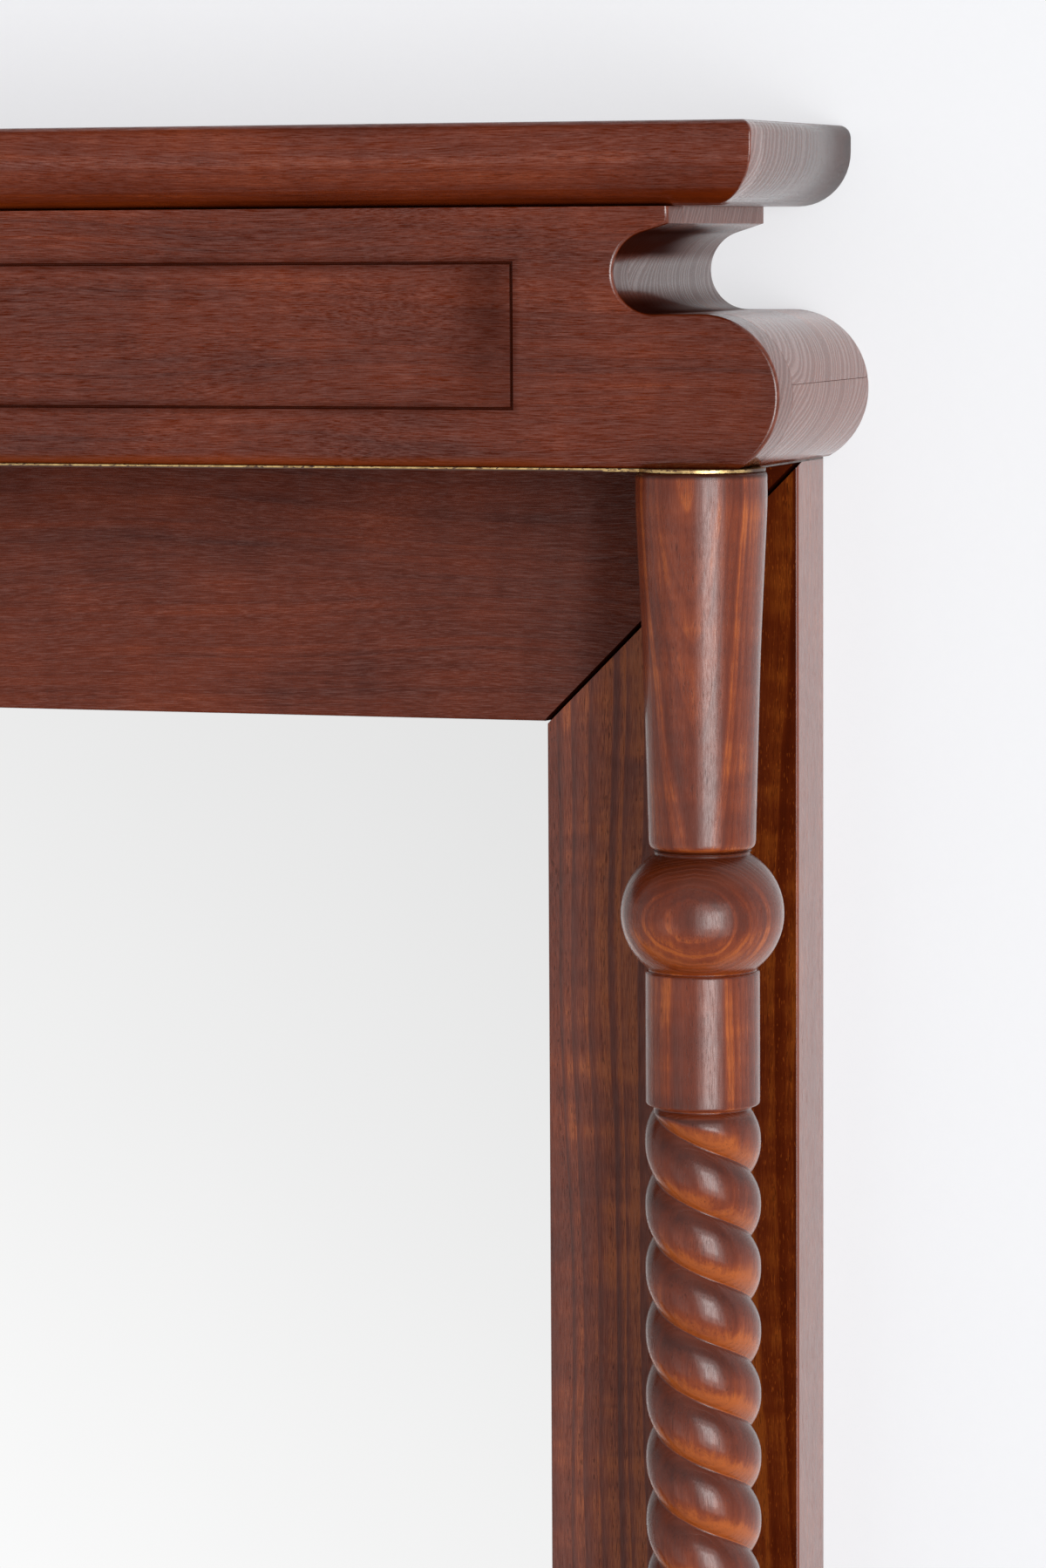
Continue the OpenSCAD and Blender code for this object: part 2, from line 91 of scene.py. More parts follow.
class OvermantelSizes(PropertyGroup):
    bead_out: length("Bead reach", "How far the bead at each end reaches past the frame", 17)
    bead_r: length("Bead radius", "Radius of the bead", 28.3)
    cove_r: length("Cove radius", "Radius of the cove above the bead", 14.2)
    cove_in: length("Cove depth", "How far the cove's deepest line lies inside the frame's edge", 42.3)
    fillet_in: length("Fillet inset", "How far the fillet lies inside the frame's edge", 22.4)
    fillet_h: length("Fillet height", "Height of the fillet", 6)
    slope_h: length("Slope height", "How far the slope below the fillet falls", 2.5)
    frieze_edge: length("Frieze edge", "Rounding of the frieze's front edges at its ends", 1.6)
    foot_edge: length("Foot edge", "Rounding of the frieze's front edge along its foot", 2.6)
    frame_edge: length("Frame edge", "Easing of the edges of the frame", 0.6)
    seam_edge: length("Seam edge", "Easing of the edges that meet in a seam", 0.18)
    panel_in: length("Panel inset", "Distance from the frame's edge to the end of the panel", 78.6)
    panel_low: length("Panel foot", "Distance from the foot of the frieze to the panel", 20)
    panel_high: length("Panel head", "Distance from the top of the frieze to the panel", 18.7)
    groove: length("Groove", "Width and depth of the groove round the panel", 1)
    quarter_r: length("Large round", "Radius of the quarter round on the crown and base boards", 19.5)
    easing_r: length("Small round", "Radius of the round on their other edge", 4.5)
    corner_edge: length("Corner edge", "Easing of the corners of both boards", 3.0)
    spigot_r: length("Spigot radius", "Radius of the spigots at the ends of a column", 5)
    spigot_l: length("Spigot length", "Length of the spigots", 20)
    head_r: length("Head radius", "Radius of a column's head at its widest", 22.8)
    collar_r: length("Collar radius", "Radius of the plain collar", 20)
    neck_r: length("Neck radius", "Radius of the neck between the head and the ball", 17)
    rope_r: length("Twist radius", "Radius of the twist over its crests", 20.3)
    rope_depth: length("Groove depth", "Depth of the twist's grooves", 3.7)
    rope_lead: length("Lead", "Height in which one strand goes once round", 45)
    turned_steps: IntProperty(name="Steps", description="Faces round a column", default=96, min=24)


class OvermantelColours(PropertyGroup):
    # Amber is also mixed in as a painted lit band on the frieze's foot and as painted glints on pores
    # beside the columns
    amber: paint("Amber", "Stained wood where the stain is thinnest", (0.34, 0.075, 0.009))
    stain_light: paint("Light stain", "Stained wood between the rings", (0.175, 0.028, 0.0042))
    stain_mid: paint("Stain", "Stained wood over all", (0.112, 0.0150, 0.0021))
    stain_dark: paint("Dark stain", "Stained wood in the rings", (0.046, 0.0055, 0.0012))
    pore: paint("Pores", "Stain that lies in the pores", (0.012, 0.003, 0.002))
    leaf: paint("Gold leaf", "The gilding where it is whole", (0.74, 0.52, 0.23))
    leaf_thin: paint("Thin leaf", "The gilding where its ground shines through", (0.42, 0.27, 0.12))
    bole: paint("Bole", "The ground where the gold is worn", (0.05, 0.018, 0.008))
    glass: paint("Mirror", "The mirror glass", (0.934, 0.935, 0.935))
    ply_light: paint("Light ply", "Plywood between its rings", (0.50, 0.33, 0.17))
    ply_dark: paint("Dark ply", "Plywood in its rings", (0.33, 0.19, 0.09))
    cork: paint("Cork", "The pads under the glass", (0.36, 0.20, 0.09))
    steel: paint("Steel", "Screws and hanger plates", (0.56, 0.56, 0.57))
    wall: paint("Wall", "The wall behind the mirror", (0.85, 0.862, 0.885))
    wall_lit: paint("Lit wall", "What an evenly lit wall looks like", (0.872, 0.875, 0.897))
    backdrop: paint("Backdrop", "What the camera sees beyond the wall", (0.86, 0.86, 0.88))


# ---- Modelling by hand ----


def make_active(piece):
    """Selects only this piece and makes it the active one."""
    bpy.ops.object.select_all(action="DESELECT")
    piece.select_set(True)
    bpy.context.view_layer.objects.active = piece


def name_active(name):
    """Names the active object and its mesh."""
    piece = bpy.context.active_object
    piece.name = piece.data.name = name
    return piece


def object_mode():
    bpy.ops.object.mode_set(mode="OBJECT")


def select_mesh():
    """In edit mode, selects the whole mesh."""
    bpy.ops.mesh.select_all(action="SELECT")


def edit_mesh():
    """Goes into edit mode with the whole mesh selected."""
    bpy.ops.object.mode_set(mode="EDIT")
    select_mesh()


def start_piece(name, first):
    """A new piece in edit mode with one selected vertex, at the point first."""
    bpy.ops.object.select_all(action="DESELECT")
    bpy.ops.mesh.primitive_plane_add(size=MM, location=(0, 0, 0))
    piece = name_active(name)
    bpy.ops.object.mode_set(mode="EDIT")
    bpy.ops.mesh.select_mode(type="VERT")
    select_mesh()
    bpy.ops.mesh.merge(type="CENTER")
    select_mesh()
    bpy.ops.transform.translate(value=first)
    return piece


def draw_on(points):
    """Extrudes the selected vertex from the first of the points through all the others."""
    for here, there in zip(points, points[1:]):
        bpy.ops.mesh.extrude_vertices_move(TRANSFORM_OT_translate={"value": there - here})


def choose(piece, kind, test):
    """In edit mode, selects the verts, edges or faces that pass the test, and nothing else."""
    bpy.ops.mesh.select_mode(type=kind[:-1].upper())
    bpy.ops.mesh.select_all(action="DESELECT")
    mesh = bmesh.from_edit_mesh(piece.data)
    for part in getattr(mesh, kind):
        if test(part):
            part.select_set(True)
    bmesh.update_edit_mesh(piece.data)


def fill_outline(piece):
    """Joins the ends of the drawn outline and fills it."""
    choose(piece, "verts", lambda vertex: len(vertex.link_edges) == 1)
    bpy.ops.mesh.edge_face_add()
    select_mesh()
    bpy.ops.mesh.edge_face_add()


def close_outline(piece, depth):
    """Joins the ends of the drawn outline, fills it and gives it depth along y."""
    fill_outline(piece)
    bpy.ops.mesh.extrude_region_move(TRANSFORM_OT_translate={"value": (0, depth, 0)})
    mend_normals()


def mend_normals():
    """In edit mode, merges doubles and turns all faces outwards."""
    select_mesh()
    bpy.ops.mesh.remove_doubles(threshold=TINY)
    bpy.ops.mesh.normals_make_consistent(inside=False)


def block(name, low, high):
    """A box between two corners, in edit mode."""
    bpy.ops.object.select_all(action="DESELECT")
    bpy.ops.mesh.primitive_cube_add(size=1, location=(0, 0, 0))
    piece = name_active(name)
    edit_mesh()
    bpy.ops.transform.resize(value=high - low)
    bpy.ops.transform.translate(value=(low + high) / 2)
    return piece


def apply_modifier(piece, kind, **settings):
    """Adds a modifier with these settings and applies it."""
    make_active(piece)
    modifier = piece.modifiers.new(kind.title(), kind)
    for setting, value in settings.items():
        setattr(modifier, setting, value)
    bpy.ops.object.modifier_apply(modifier=modifier.name)


def ease(piece, width, angle, segments=1):
    """Bevels the edges that are sharper than an angle in degrees."""
    limits = {"limit_method": "ANGLE", "angle_limit": math.radians(angle)}
    apply_modifier(piece, "BEVEL", width=width, segments=segments, **limits)


def set_material(piece, material):
    piece.data.materials.clear()
    piece.data.materials.append(material)


def finish_piece(piece, material, nodes):
    """Smooths the piece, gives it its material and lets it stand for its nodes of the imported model."""
    if bpy.context.mode != "OBJECT":
        object_mode()
    make_active(piece)
    bpy.ops.object.transform_apply(location=True, rotation=True, scale=True)
    bpy.ops.object.shade_smooth()
    apply_modifier(piece, "WEIGHTED_NORMAL", keep_sharp=True, weight=100)
    set_material(piece, material)
    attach(piece, BODY)
    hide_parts(*nodes)


def copy_of(original, name):
    """A copy of an object, with its own mesh."""
    make_active(original)
    bpy.ops.object.duplicate()
    return name_active(name)


def mirrored_copy(piece, name):
    """A copy of the piece, as its mirror image in the plane x = 0."""
    twin = copy_of(piece, name)
    edit_mesh()
    bpy.ops.transform.resize(value=(-1, 1, 1), center_override=(0, 0, 0))
    bpy.ops.mesh.normals_make_consistent(inside=False)
    object_mode()
    return twin


def arc(centre, radius, start, end, steps):
    """Points along an arc in a plane, from one angle to another in degrees."""
    angles = [math.radians(start + (end - start) * i / steps) for i in range(steps + 1)]
    return [(centre[0] + radius * math.cos(a), centre[1] + radius * math.sin(a)) for a in angles]


def through(knots, steps):
    """Points on a smooth curve through the knots, each (distance, radius)."""
    points = []
    last = len(knots) - 1
    for i in range(last):
        p0, p1, p2, p3 = (Vector(knots[min(max(i + k, 0), last)]) for k in (-1, 0, 1, 2))
        for step in range(steps):
            t = step / steps
            points.append(
                tuple(
                    0.5
                    * (
                        2 * p1
                        + (p2 - p0) * t
                        + (2 * p0 - 5 * p1 + 4 * p2 - p3) * t**2
                        + (3 * p1 - p0 - 3 * p2 + p3) * t**3
                    )
                )
            )
    return points + [tuple(knots[-1])]


# ---- Finishes ----


class Nodes:
    """Adds nodes to a node tree and wires them as they come."""

    in_a_row, step_x, step_y = 8, 180, -220

    def __init__(self, tree):
        self.tree = tree
        self.count = 0

    def add(self, kind, inputs=None, **settings):
        node = self.tree.nodes.new(kind)
        self.count += 1
        row, place = divmod(self.count, self.in_a_row)
        node.location = (self.step_x * place, self.step_y * row)
        for setting, value in settings.items():
            setattr(node, setting, value)
        self.fill(node, inputs or {})
        return node

    def feed(self, socket, value):
        """Wires a socket to the value, or sets it where the value is plain."""
        if isinstance(value, bpy.types.NodeSocket):
            self.tree.links.new(value, socket)
        else:
            socket.default_value = value

    def fill(self, node, inputs):
        for key, value in inputs.items():
            self.feed(node.inputs[key], value)

    def texture(self, output):
        return self.add("ShaderNodeTexCoord").outputs[output]

    def parts(self, vector):
        """The x, y and z of a vector."""
        return self.add("ShaderNodeSeparateXYZ", {0: vector}).outputs

    def bump(self, height, strength, millimetres):
        inputs = {"Height": height, "Strength": strength, "Distance": millimetres * MM}
        return self.add("ShaderNodeBump", inputs).outputs[0]

    def product(self, first, *others):
        for other in others:
            first = self.maths("MULTIPLY", first, other)
        return first

    def largest(self, first, *others):
        for other in others:
            first = self.maths("MAXIMUM", first, other)
        return first

    def absolute(self, value):
        return self.maths("ABSOLUTE", value)

    def rest_of(self, share):
        return self.maths("SUBTRACT", 1.0, share)

    def maths(self, operation, *values, clamp=False):
        node = self.add("ShaderNodeMath", dict(enumerate(values)), operation=operation, use_clamp=clamp)
        return node.outputs[0]

    def vector(self, operation, *values):
        node = self.add("ShaderNodeVectorMath", dict(enumerate(values)), operation=operation)
        return node.outputs["Value" if operation == "LENGTH" else "Vector"]

    def noise(self, vector, stretch=None, scale=1.0, detail=2.0, roughness=0.5, output="Fac"):
        if stretch:
            vector = self.vector("MULTIPLY", vector, stretch)
        inputs = {"Vector": vector, "Scale": scale, "Detail": detail, "Roughness": roughness}
        return self.add("ShaderNodeTexNoise", inputs).outputs[output]

    def between(self, value, low, high, to_low=0.0, to_high=1.0):
        """Goes smoothly from to_low to to_high while the value goes from low to high."""
        inputs = {"Value": value, 1: low, 2: high, 3: to_low, 4: to_high}
        return self.add("ShaderNodeMapRange", inputs, interpolation_type="SMOOTHSTEP").outputs[0]

    def mix(self, factor, first, second, blend="MIX"):
        node = self.add("ShaderNodeMix", data_type="RGBA", blend_type=blend)
        # The colours' sockets are the seventh and eighth, after those for other kinds of data
        self.fill(node, {0: factor, 6: first, 7: second})
        return node.outputs[2]

    def blend(self, share, first, second):
        """Two shaders mixed, with this share of the second one."""
        return self.add("ShaderNodeMixShader", {0: share, 1: first, 2: second}).outputs[0]

    def ramp(self, value, stops):
        """Goes through stops of (place, colour) or (place, grey)."""
        node = self.add("ShaderNodeValToRGB", {0: value})
        elements = node.color_ramp.elements
        while len(elements) < len(stops):
            elements.new(0.5)
        for element, (place, shade) in zip(elements, stops):
            element.position = place
            element.color = rgba(shade) if hasattr(shade, "__len__") else (shade, shade, shade, 1)
        return node.outputs[0]


def rgba(colour):
    return (*colour, 1)


def darker(colour, share):
    return rgba([c * share for c in colour])


def new_material(name):
    """A material with only its output and a Principled shader."""
    material = bpy.data.materials.new(name)
    material.use_nodes = True
    shader = material.node_tree.nodes["Principled BSDF"]
    return material, Nodes(material.node_tree), shader


FIGURE = "Ring-porous figure"
WOOD_INPUTS = {
    "Ring width": 2.4,  # millimetres
    "Rings": 0.2,  # how much darker the late wood is
    "Stripes": 0.3,  # how much one year differs from the next
    "Waver": 1.0,  # how far the rings stray
    "Pores": 0.3,  # how much stain lies in the pores
    "Ripple": 0.2,  # bands across the grain
    "Tone": 0.0,  # above 0 is darker
    "Fine": 1.0,  # how much of the fibres shows
}
# Stops of one year's growth, as (place in the year, how late its wood is)
YEAR = ((0, 0.1), (0.4, 0.25), (0.75, 0.8), (0.88, 1.0), (0.96, 0.55), (1.0, 0.1))

END_EVEN = 0.8  # how far end grain goes toward one even stain
EARLY_DEEP = 0.3  # how much darker its early wood is
EARLY_OPEN = 0.28  # how much less lacquer its early wood has
SOAK = 0.24  # how much the fine grain takes from the shine


def figure_group(colours):
    """The figure of ring-porous wood, from a place in millimetres.

    The grain lies along x and the pith at y = z = 0.
    """
    group = bpy.data.node_groups.new(FIGURE, "ShaderNodeTree")
    group.interface.new_socket("Vector", in_out="INPUT", socket_type="NodeSocketVector")
    for name in WOOD_INPUTS:
        group.interface.new_socket(name, in_out="INPUT", socket_type="NodeSocketFloat")
    group.interface.new_socket("Colour", in_out="OUTPUT", socket_type="NodeSocketColor")
    for name in ("Pore", "Fibre", "Late wood", "Fine"):
        group.interface.new_socket(name, in_out="OUTPUT", socket_type="NodeSocketFloat")
    nodes = Nodes(group)
    given = nodes.add("NodeGroupInput").outputs
    place = given["Vector"]

    def stretched(along, across, vector=place):
        return nodes.vector("MULTIPLY", vector, (1 / along, 1 / across, 1 / across))

    def swing(value, strength):
        return nodes.product(nodes.maths("SUBTRACT", value, 0.5), strength)

    def yearly(years, scale):
        inputs = {"W": years, "Scale": scale, "Detail": 1}
        return nodes.add("ShaderNodeTexNoise", inputs, noise_dimensions="1D").outputs[0]

    # The rings waver slowly along the tree and a little across it
    half = (0.5, 0.5, 0.5)
    slow = nodes.noise(stretched(240, 60), detail=1, output="Color")
    slow = nodes.vector("MULTIPLY", nodes.vector("SUBTRACT", slow, half), (0, 26, 26))
    inputs = {0: slow, "Scale": given["Waver"]}
    slow = nodes.add("ShaderNodeVectorMath", inputs, operation="SCALE").outputs[0]
    quick = nodes.noise(stretched(40, 7), detail=2, output="Color")
    quick = nodes.vector("MULTIPLY", nodes.vector("SUBTRACT", quick, half), (0, 1.2, 1.2))
    bent = nodes.vector("ADD", nodes.vector("ADD", place, slow), quick)
    radius = nodes.vector("LENGTH", nodes.vector("MULTIPLY", bent, (0, 1, 1)))
    rings = nodes.maths("DIVIDE", radius, given["Ring width"])
    rings = nodes.maths("ADD", rings, nodes.product(yearly(rings, 0.35), 2.2))
    phase = nodes.maths("FRACT", rings)
    late = nodes.ramp(phase, YEAR)
    years = yearly(rings, 0.6)

    fibres = nodes.noise(stretched(8, 0.22, bent), detail=2, roughness=0.6)
    streaks = nodes.noise(stretched(70, 1.6, bent), detail=2)
    clouds = nodes.noise(stretched(75, 22), detail=2)
    ripple = nodes.noise(stretched(9, 34), detail=2)
    speckle = nodes.noise(stretched(1.3, 0.5), detail=2, roughness=0.7)
    early = nodes.between(phase, 0.3, 0.5, 1, 0)
    dashes = nodes.noise(stretched(3.0, 0.28, bent), detail=0)
    crowd = nodes.noise(stretched(30, 8), detail=1)
    pores = nodes.between(nodes.maths("MULTIPLY_ADD", crowd, 0.2, dashes), 0.74, 0.8)
    pores = nodes.product(pores, nodes.maths("MULTIPLY_ADD", early, 0.85, 0.15))

    # 0 is the lightest stain and 1 the darkest
    tone = nodes.maths("MULTIPLY_ADD", nodes.maths("SUBTRACT", late, 0.45), given["Rings"], given["Tone"])
    layers = ((years, given["Stripes"]), (streaks, 0.4), (clouds, 0.8), (ripple, given["Ripple"]))
    for layer, strength in layers:
        tone = nodes.maths("ADD", swing(layer, strength), tone)
    fine = nodes.maths("ADD", swing(fibres, 0.75), swing(speckle, 0.15))
    fine = nodes.product(fine, given["Fine"])
    tone = nodes.maths("ADD", nodes.maths("ADD", tone, fine), 0.5, clamp=True)
    stains = (colours.amber, colours.stain_light, colours.stain_mid, colours.stain_dark)
    colour = nodes.ramp(tone, tuple(zip((0.0, 0.25, 0.5, 1.0), stains)))
    filled = nodes.maths("MULTIPLY", pores, given["Pores"], clamp=True)
    colour = nodes.mix(filled, colour, rgba(colours.pore))
    outputs = {"Colour": colour, "Pore": filled, "Fibre": fibres, "Late wood": late, "Fine": fine}
    nodes.add("NodeGroupOutput", outputs)
    return group


def stained_wood(name, grain, pith, shift=0.0, gloss=0.4, sides=0.96, under=1.3, film=1.5, **figure):
    """Stained and lacquered wood whose grain runs along x or z.

    The pith is a point of the part's frame, in metres. Gloss is how much lacquer the front has, and
    sides how much the faces toward x have. Under and film are the refractive indices of the wood and
    the lacquer. Top shade is painted shade, how much darker the colour is on what faces up. Calm gives
    how much of the rings shows where, darkening where colour and lacquer are made darker and thinner,
    and painted light and shade the painted shade in the colour and reflections and painted highlights.
    """
    top_shade = figure.get("top_shade", 0)
    calm, gather, painted_light_and_shade = (figure.get(key) for key in ("calm", "gather", "painted_light_and_shade"))
    colours = bpy.context.scene.overmantel_colours
    deep = darker(colours.stain_dark, 0.5)
    material, nodes, shader = new_material(name)
    place = nodes.texture("Object")
    normal = nodes.parts(nodes.texture("Normal"))

    # The figure is asked for in millimetres from the pith, with the grain along x
    if grain == "x":
        turn, centre = (0, 0, 0), (shift, -pith[1] / MM, -pith[2] / MM)
    else:
        turn, centre = (0, math.pi / 2, 0), (shift, -pith[1] / MM, pith[0] / MM)
    inputs = {"Vector": place, "Location": centre, "Rotation": turn, "Scale": (1 / MM,) * 3}
    given = {"Vector": nodes.add("ShaderNodeMapping", inputs).outputs[0]}
    for key, default in WOOD_INPUTS.items():
        given[key] = figure.get(key.lower().replace(" ", "_"), default)
    if calm:
        shown = calm(nodes, place)
        for key in ("Rings", "Stripes"):
            given[key] = nodes.product(shown, given[key])
        # Where less of the rings shows, more shade is painted on what faces up
        top_shade = nodes.maths("MULTIPLY_ADD", shown, -1.8 * top_shade, 2.8 * top_shade)
    # Painted shade: what faces up is made darker and what faces down lighter
    if top_shade:
        given["Tone"] = nodes.maths("MULTIPLY_ADD", normal["Z"], top_shade, given["Tone"])
    group = bpy.data.node_groups.get(FIGURE) or figure_group(colours)
    wood = nodes.add("ShaderNodeGroup", given, node_tree=group).outputs

    # On end grain the early wood is darker and sunk in, so its rings stand up under the lacquer
    end = nodes.between(nodes.absolute(normal[grain.upper()]), 0.3, 0.8)
    early = nodes.product(nodes.between(wood["Late wood"], 0.15, 0.7, 1, 0), end)
    aside = nodes.absolute(normal["X"])
    even = nodes.between(aside, 0.3, 0.8, 0, max(2 * sides - 1.2, 0))
    even = nodes.largest(nodes.product(end, END_EVEN), even)
    colour = nodes.mix(even, wood["Colour"], rgba(colours.stain_light))
    colour = nodes.mix(nodes.product(early, EARLY_DEEP), colour, deep)
    relief = nodes.maths("MULTIPLY_ADD", wood["Pore"], -1.0, nodes.product(wood["Fine"], -0.8))
    relief = nodes.maths("MULTIPLY_ADD", early, -1.5, relief)
    rough = nodes.between(wood["Fibre"], 0.3, 0.7, 0.25, 0.37)

    # The sides can have more lacquer than the front, and the darker and open grain has less. Lacquer
    # with a higher index shines more, so less of its weight makes the same difference.
    lacquer = nodes.between(aside, 0.1, 0.5, gloss, sides)
    shine = ((film - 1) / (film + 1)) ** 2
    soaked = SOAK / shine * min(1, 1.6 - gloss * 1.4)
    lacquer = nodes.maths("MULTIPLY_ADD", wood["Fine"], -soaked, lacquer, clamp=True)
    open_grain = nodes.largest(nodes.product(early, EARLY_OPEN), wood["Pore"])
    lacquer = nodes.product(lacquer, nodes.rest_of(open_grain))
    # Darker colour and thinner lacquer where the part asks for it; on the columns this is painted shade
    # under the frieze and under the head
    if gather:
        gathered = gather(nodes, place)
        colour = nodes.mix(gathered, colour, deep)
        lacquer = nodes.product(lacquer, nodes.rest_of(gathered))
    # Painted light and shade: dimmer reflections through more roughness, thinner lacquer and a darker
    # specular tint, painted shade mixed toward a deep stain, and painted highlights mixed toward amber
    if painted_light_and_shade:
        reflection_shade, painted_shade, painted_highlight = painted_light_and_shade(nodes, place, normal)
        colour = nodes.mix(painted_shade, colour, deep)
        colour = nodes.mix(painted_highlight, colour, rgba(colours.amber))
        rough = nodes.maths("MULTIPLY_ADD", reflection_shade, 0.7, rough, clamp=True)
        left = nodes.rest_of(reflection_shade)
        lacquer = nodes.product(lacquer, left)
        nodes.feed(shader.inputs["Specular Tint"], nodes.mix(left, (0, 0, 0, 1), (1, 1, 1, 1)))
    finish = {"Base Color": colour, "Roughness": rough, "Normal": nodes.bump(relief, 0.6, 0.12)}
    coat = {"Coat Weight": lacquer, "Coat IOR": film, "Coat Roughness": 0.16}
    nodes.fill(shader, {**finish, **coat, "IOR": under})
    return material


def made_by(recipe, name):
    """A material whose shader gets what the recipe makes from its nodes and the colours."""
    material, nodes, shader = new_material(name)
    nodes.fill(shader, recipe(nodes, bpy.context.scene.overmantel_colours))
    return material


def worn_gold(nodes, colours):
    """Thin gold leaf that is worn through to the bole in flecks."""
    place = nodes.texture("Object")
    x, _, z = nodes.parts(place)
    flecks = nodes.noise(place, (450, 450, 1400), detail=3, roughness=0.65)
    whole = nodes.between(nodes.noise(place, scale=300, detail=2), 0.35, 0.65)
    leaf = nodes.mix(whole, rgba(colours.leaf_thin), rgba(colours.leaf))
    ends = nodes.between(nodes.absolute(nodes.parts(nodes.texture("Normal"))["X"]), 0.8, 0.95)
    # Between the columns the slip is gilded only along its upper edge
    between = nodes.between(nodes.absolute(x), COLUMN_LOW.x - 4 * MM, COLUMN_LOW.x - 3 * MM, 1, 0)
    slip_z = FRIEZE_LOW.z - 0.5 * MM
    lower = nodes.between(z, slip_z - 0.1 * MM, slip_z, 1, 0)
    off_foot = nodes.between(z, 0.1, 0.2)
    worn = nodes.between(flecks, 0.52, 0.62)
    worn = nodes.largest(worn, ends, nodes.product(between, lower, off_foot))
    return {
        "Base Color": nodes.mix(worn, leaf, rgba(colours.bole)),
        "Metallic": nodes.between(worn, 0, 1, 1, 0),
        "Roughness": nodes.between(flecks, 0.3, 0.7, 0.25, 0.5),
        "Normal": nodes.bump(flecks, 0.5, 0.1),
    }


def silvered_glass(nodes, colours):
    haze = nodes.between(nodes.noise(nodes.texture("Object"), scale=9, detail=2), 0.3, 0.7)
    shade = nodes.mix(haze, rgba(colours.glass), darker(colours.glass, 0.995))
    return {"Base Color": shade, "Metallic": 1.0, "Roughness": 0.0}


def plywood(nodes, colours):
    place = nodes.texture("Object")
    waver = nodes.noise(place, (3, 3, 12), output="Color")
    bent = nodes.vector("ADD", place, nodes.vector("MULTIPLY", waver, (0.02, 0, 0.03)))
    veneer = nodes.noise(bent, (4, 60, 160), detail=4, roughness=0.6)
    pores = nodes.noise(place, (120, 900, 2600), detail=1)
    rings = nodes.between(veneer, 0.35, 0.65)
    colour = nodes.mix(rings, rgba(colours.ply_light), rgba(colours.ply_dark))
    colour = nodes.mix(nodes.between(pores, 0.6, 0.7, 0, 0.4), colour, darker(colours.ply_dark, 0.5))
    rough = nodes.between(veneer, 0.3, 0.7, 0.6, 0.75)
    return {"Base Color": colour, "Roughness": rough, "Normal": nodes.bump(pores, 0.3, 0.1)}


def pressed_cork(nodes, colours):
    inputs = {"Vector": nodes.texture("Object"), "Scale": 600}
    grains = nodes.add("ShaderNodeTexVoronoi", inputs).outputs["Color"]
    shade = nodes.mix(0.35, rgba(colours.cork), grains, blend="MULTIPLY")
    return {"Base Color": shade, "Roughness": 0.9}


def zinc_steel(nodes, colours):
    place = nodes.texture("Object")
    bloom = nodes.between(nodes.noise(place, scale=220, detail=3), 0.35, 0.7)
    brushed = nodes.noise(place, (4000, 4000, 120), detail=1)
    shade = nodes.mix(bloom, rgba(colours.steel), darker(colours.steel, 0.72))
    rough = nodes.between(brushed, 0.3, 0.7, 0.28, 0.42)
    return {"Base Color": shade, "Roughness": rough, "Metallic": 1.0}


def dress_nodes(material, slot, *names):
    """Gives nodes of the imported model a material."""
    for name in names:
        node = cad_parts[name]
        set_material(node, material)


# ---- Operators ----


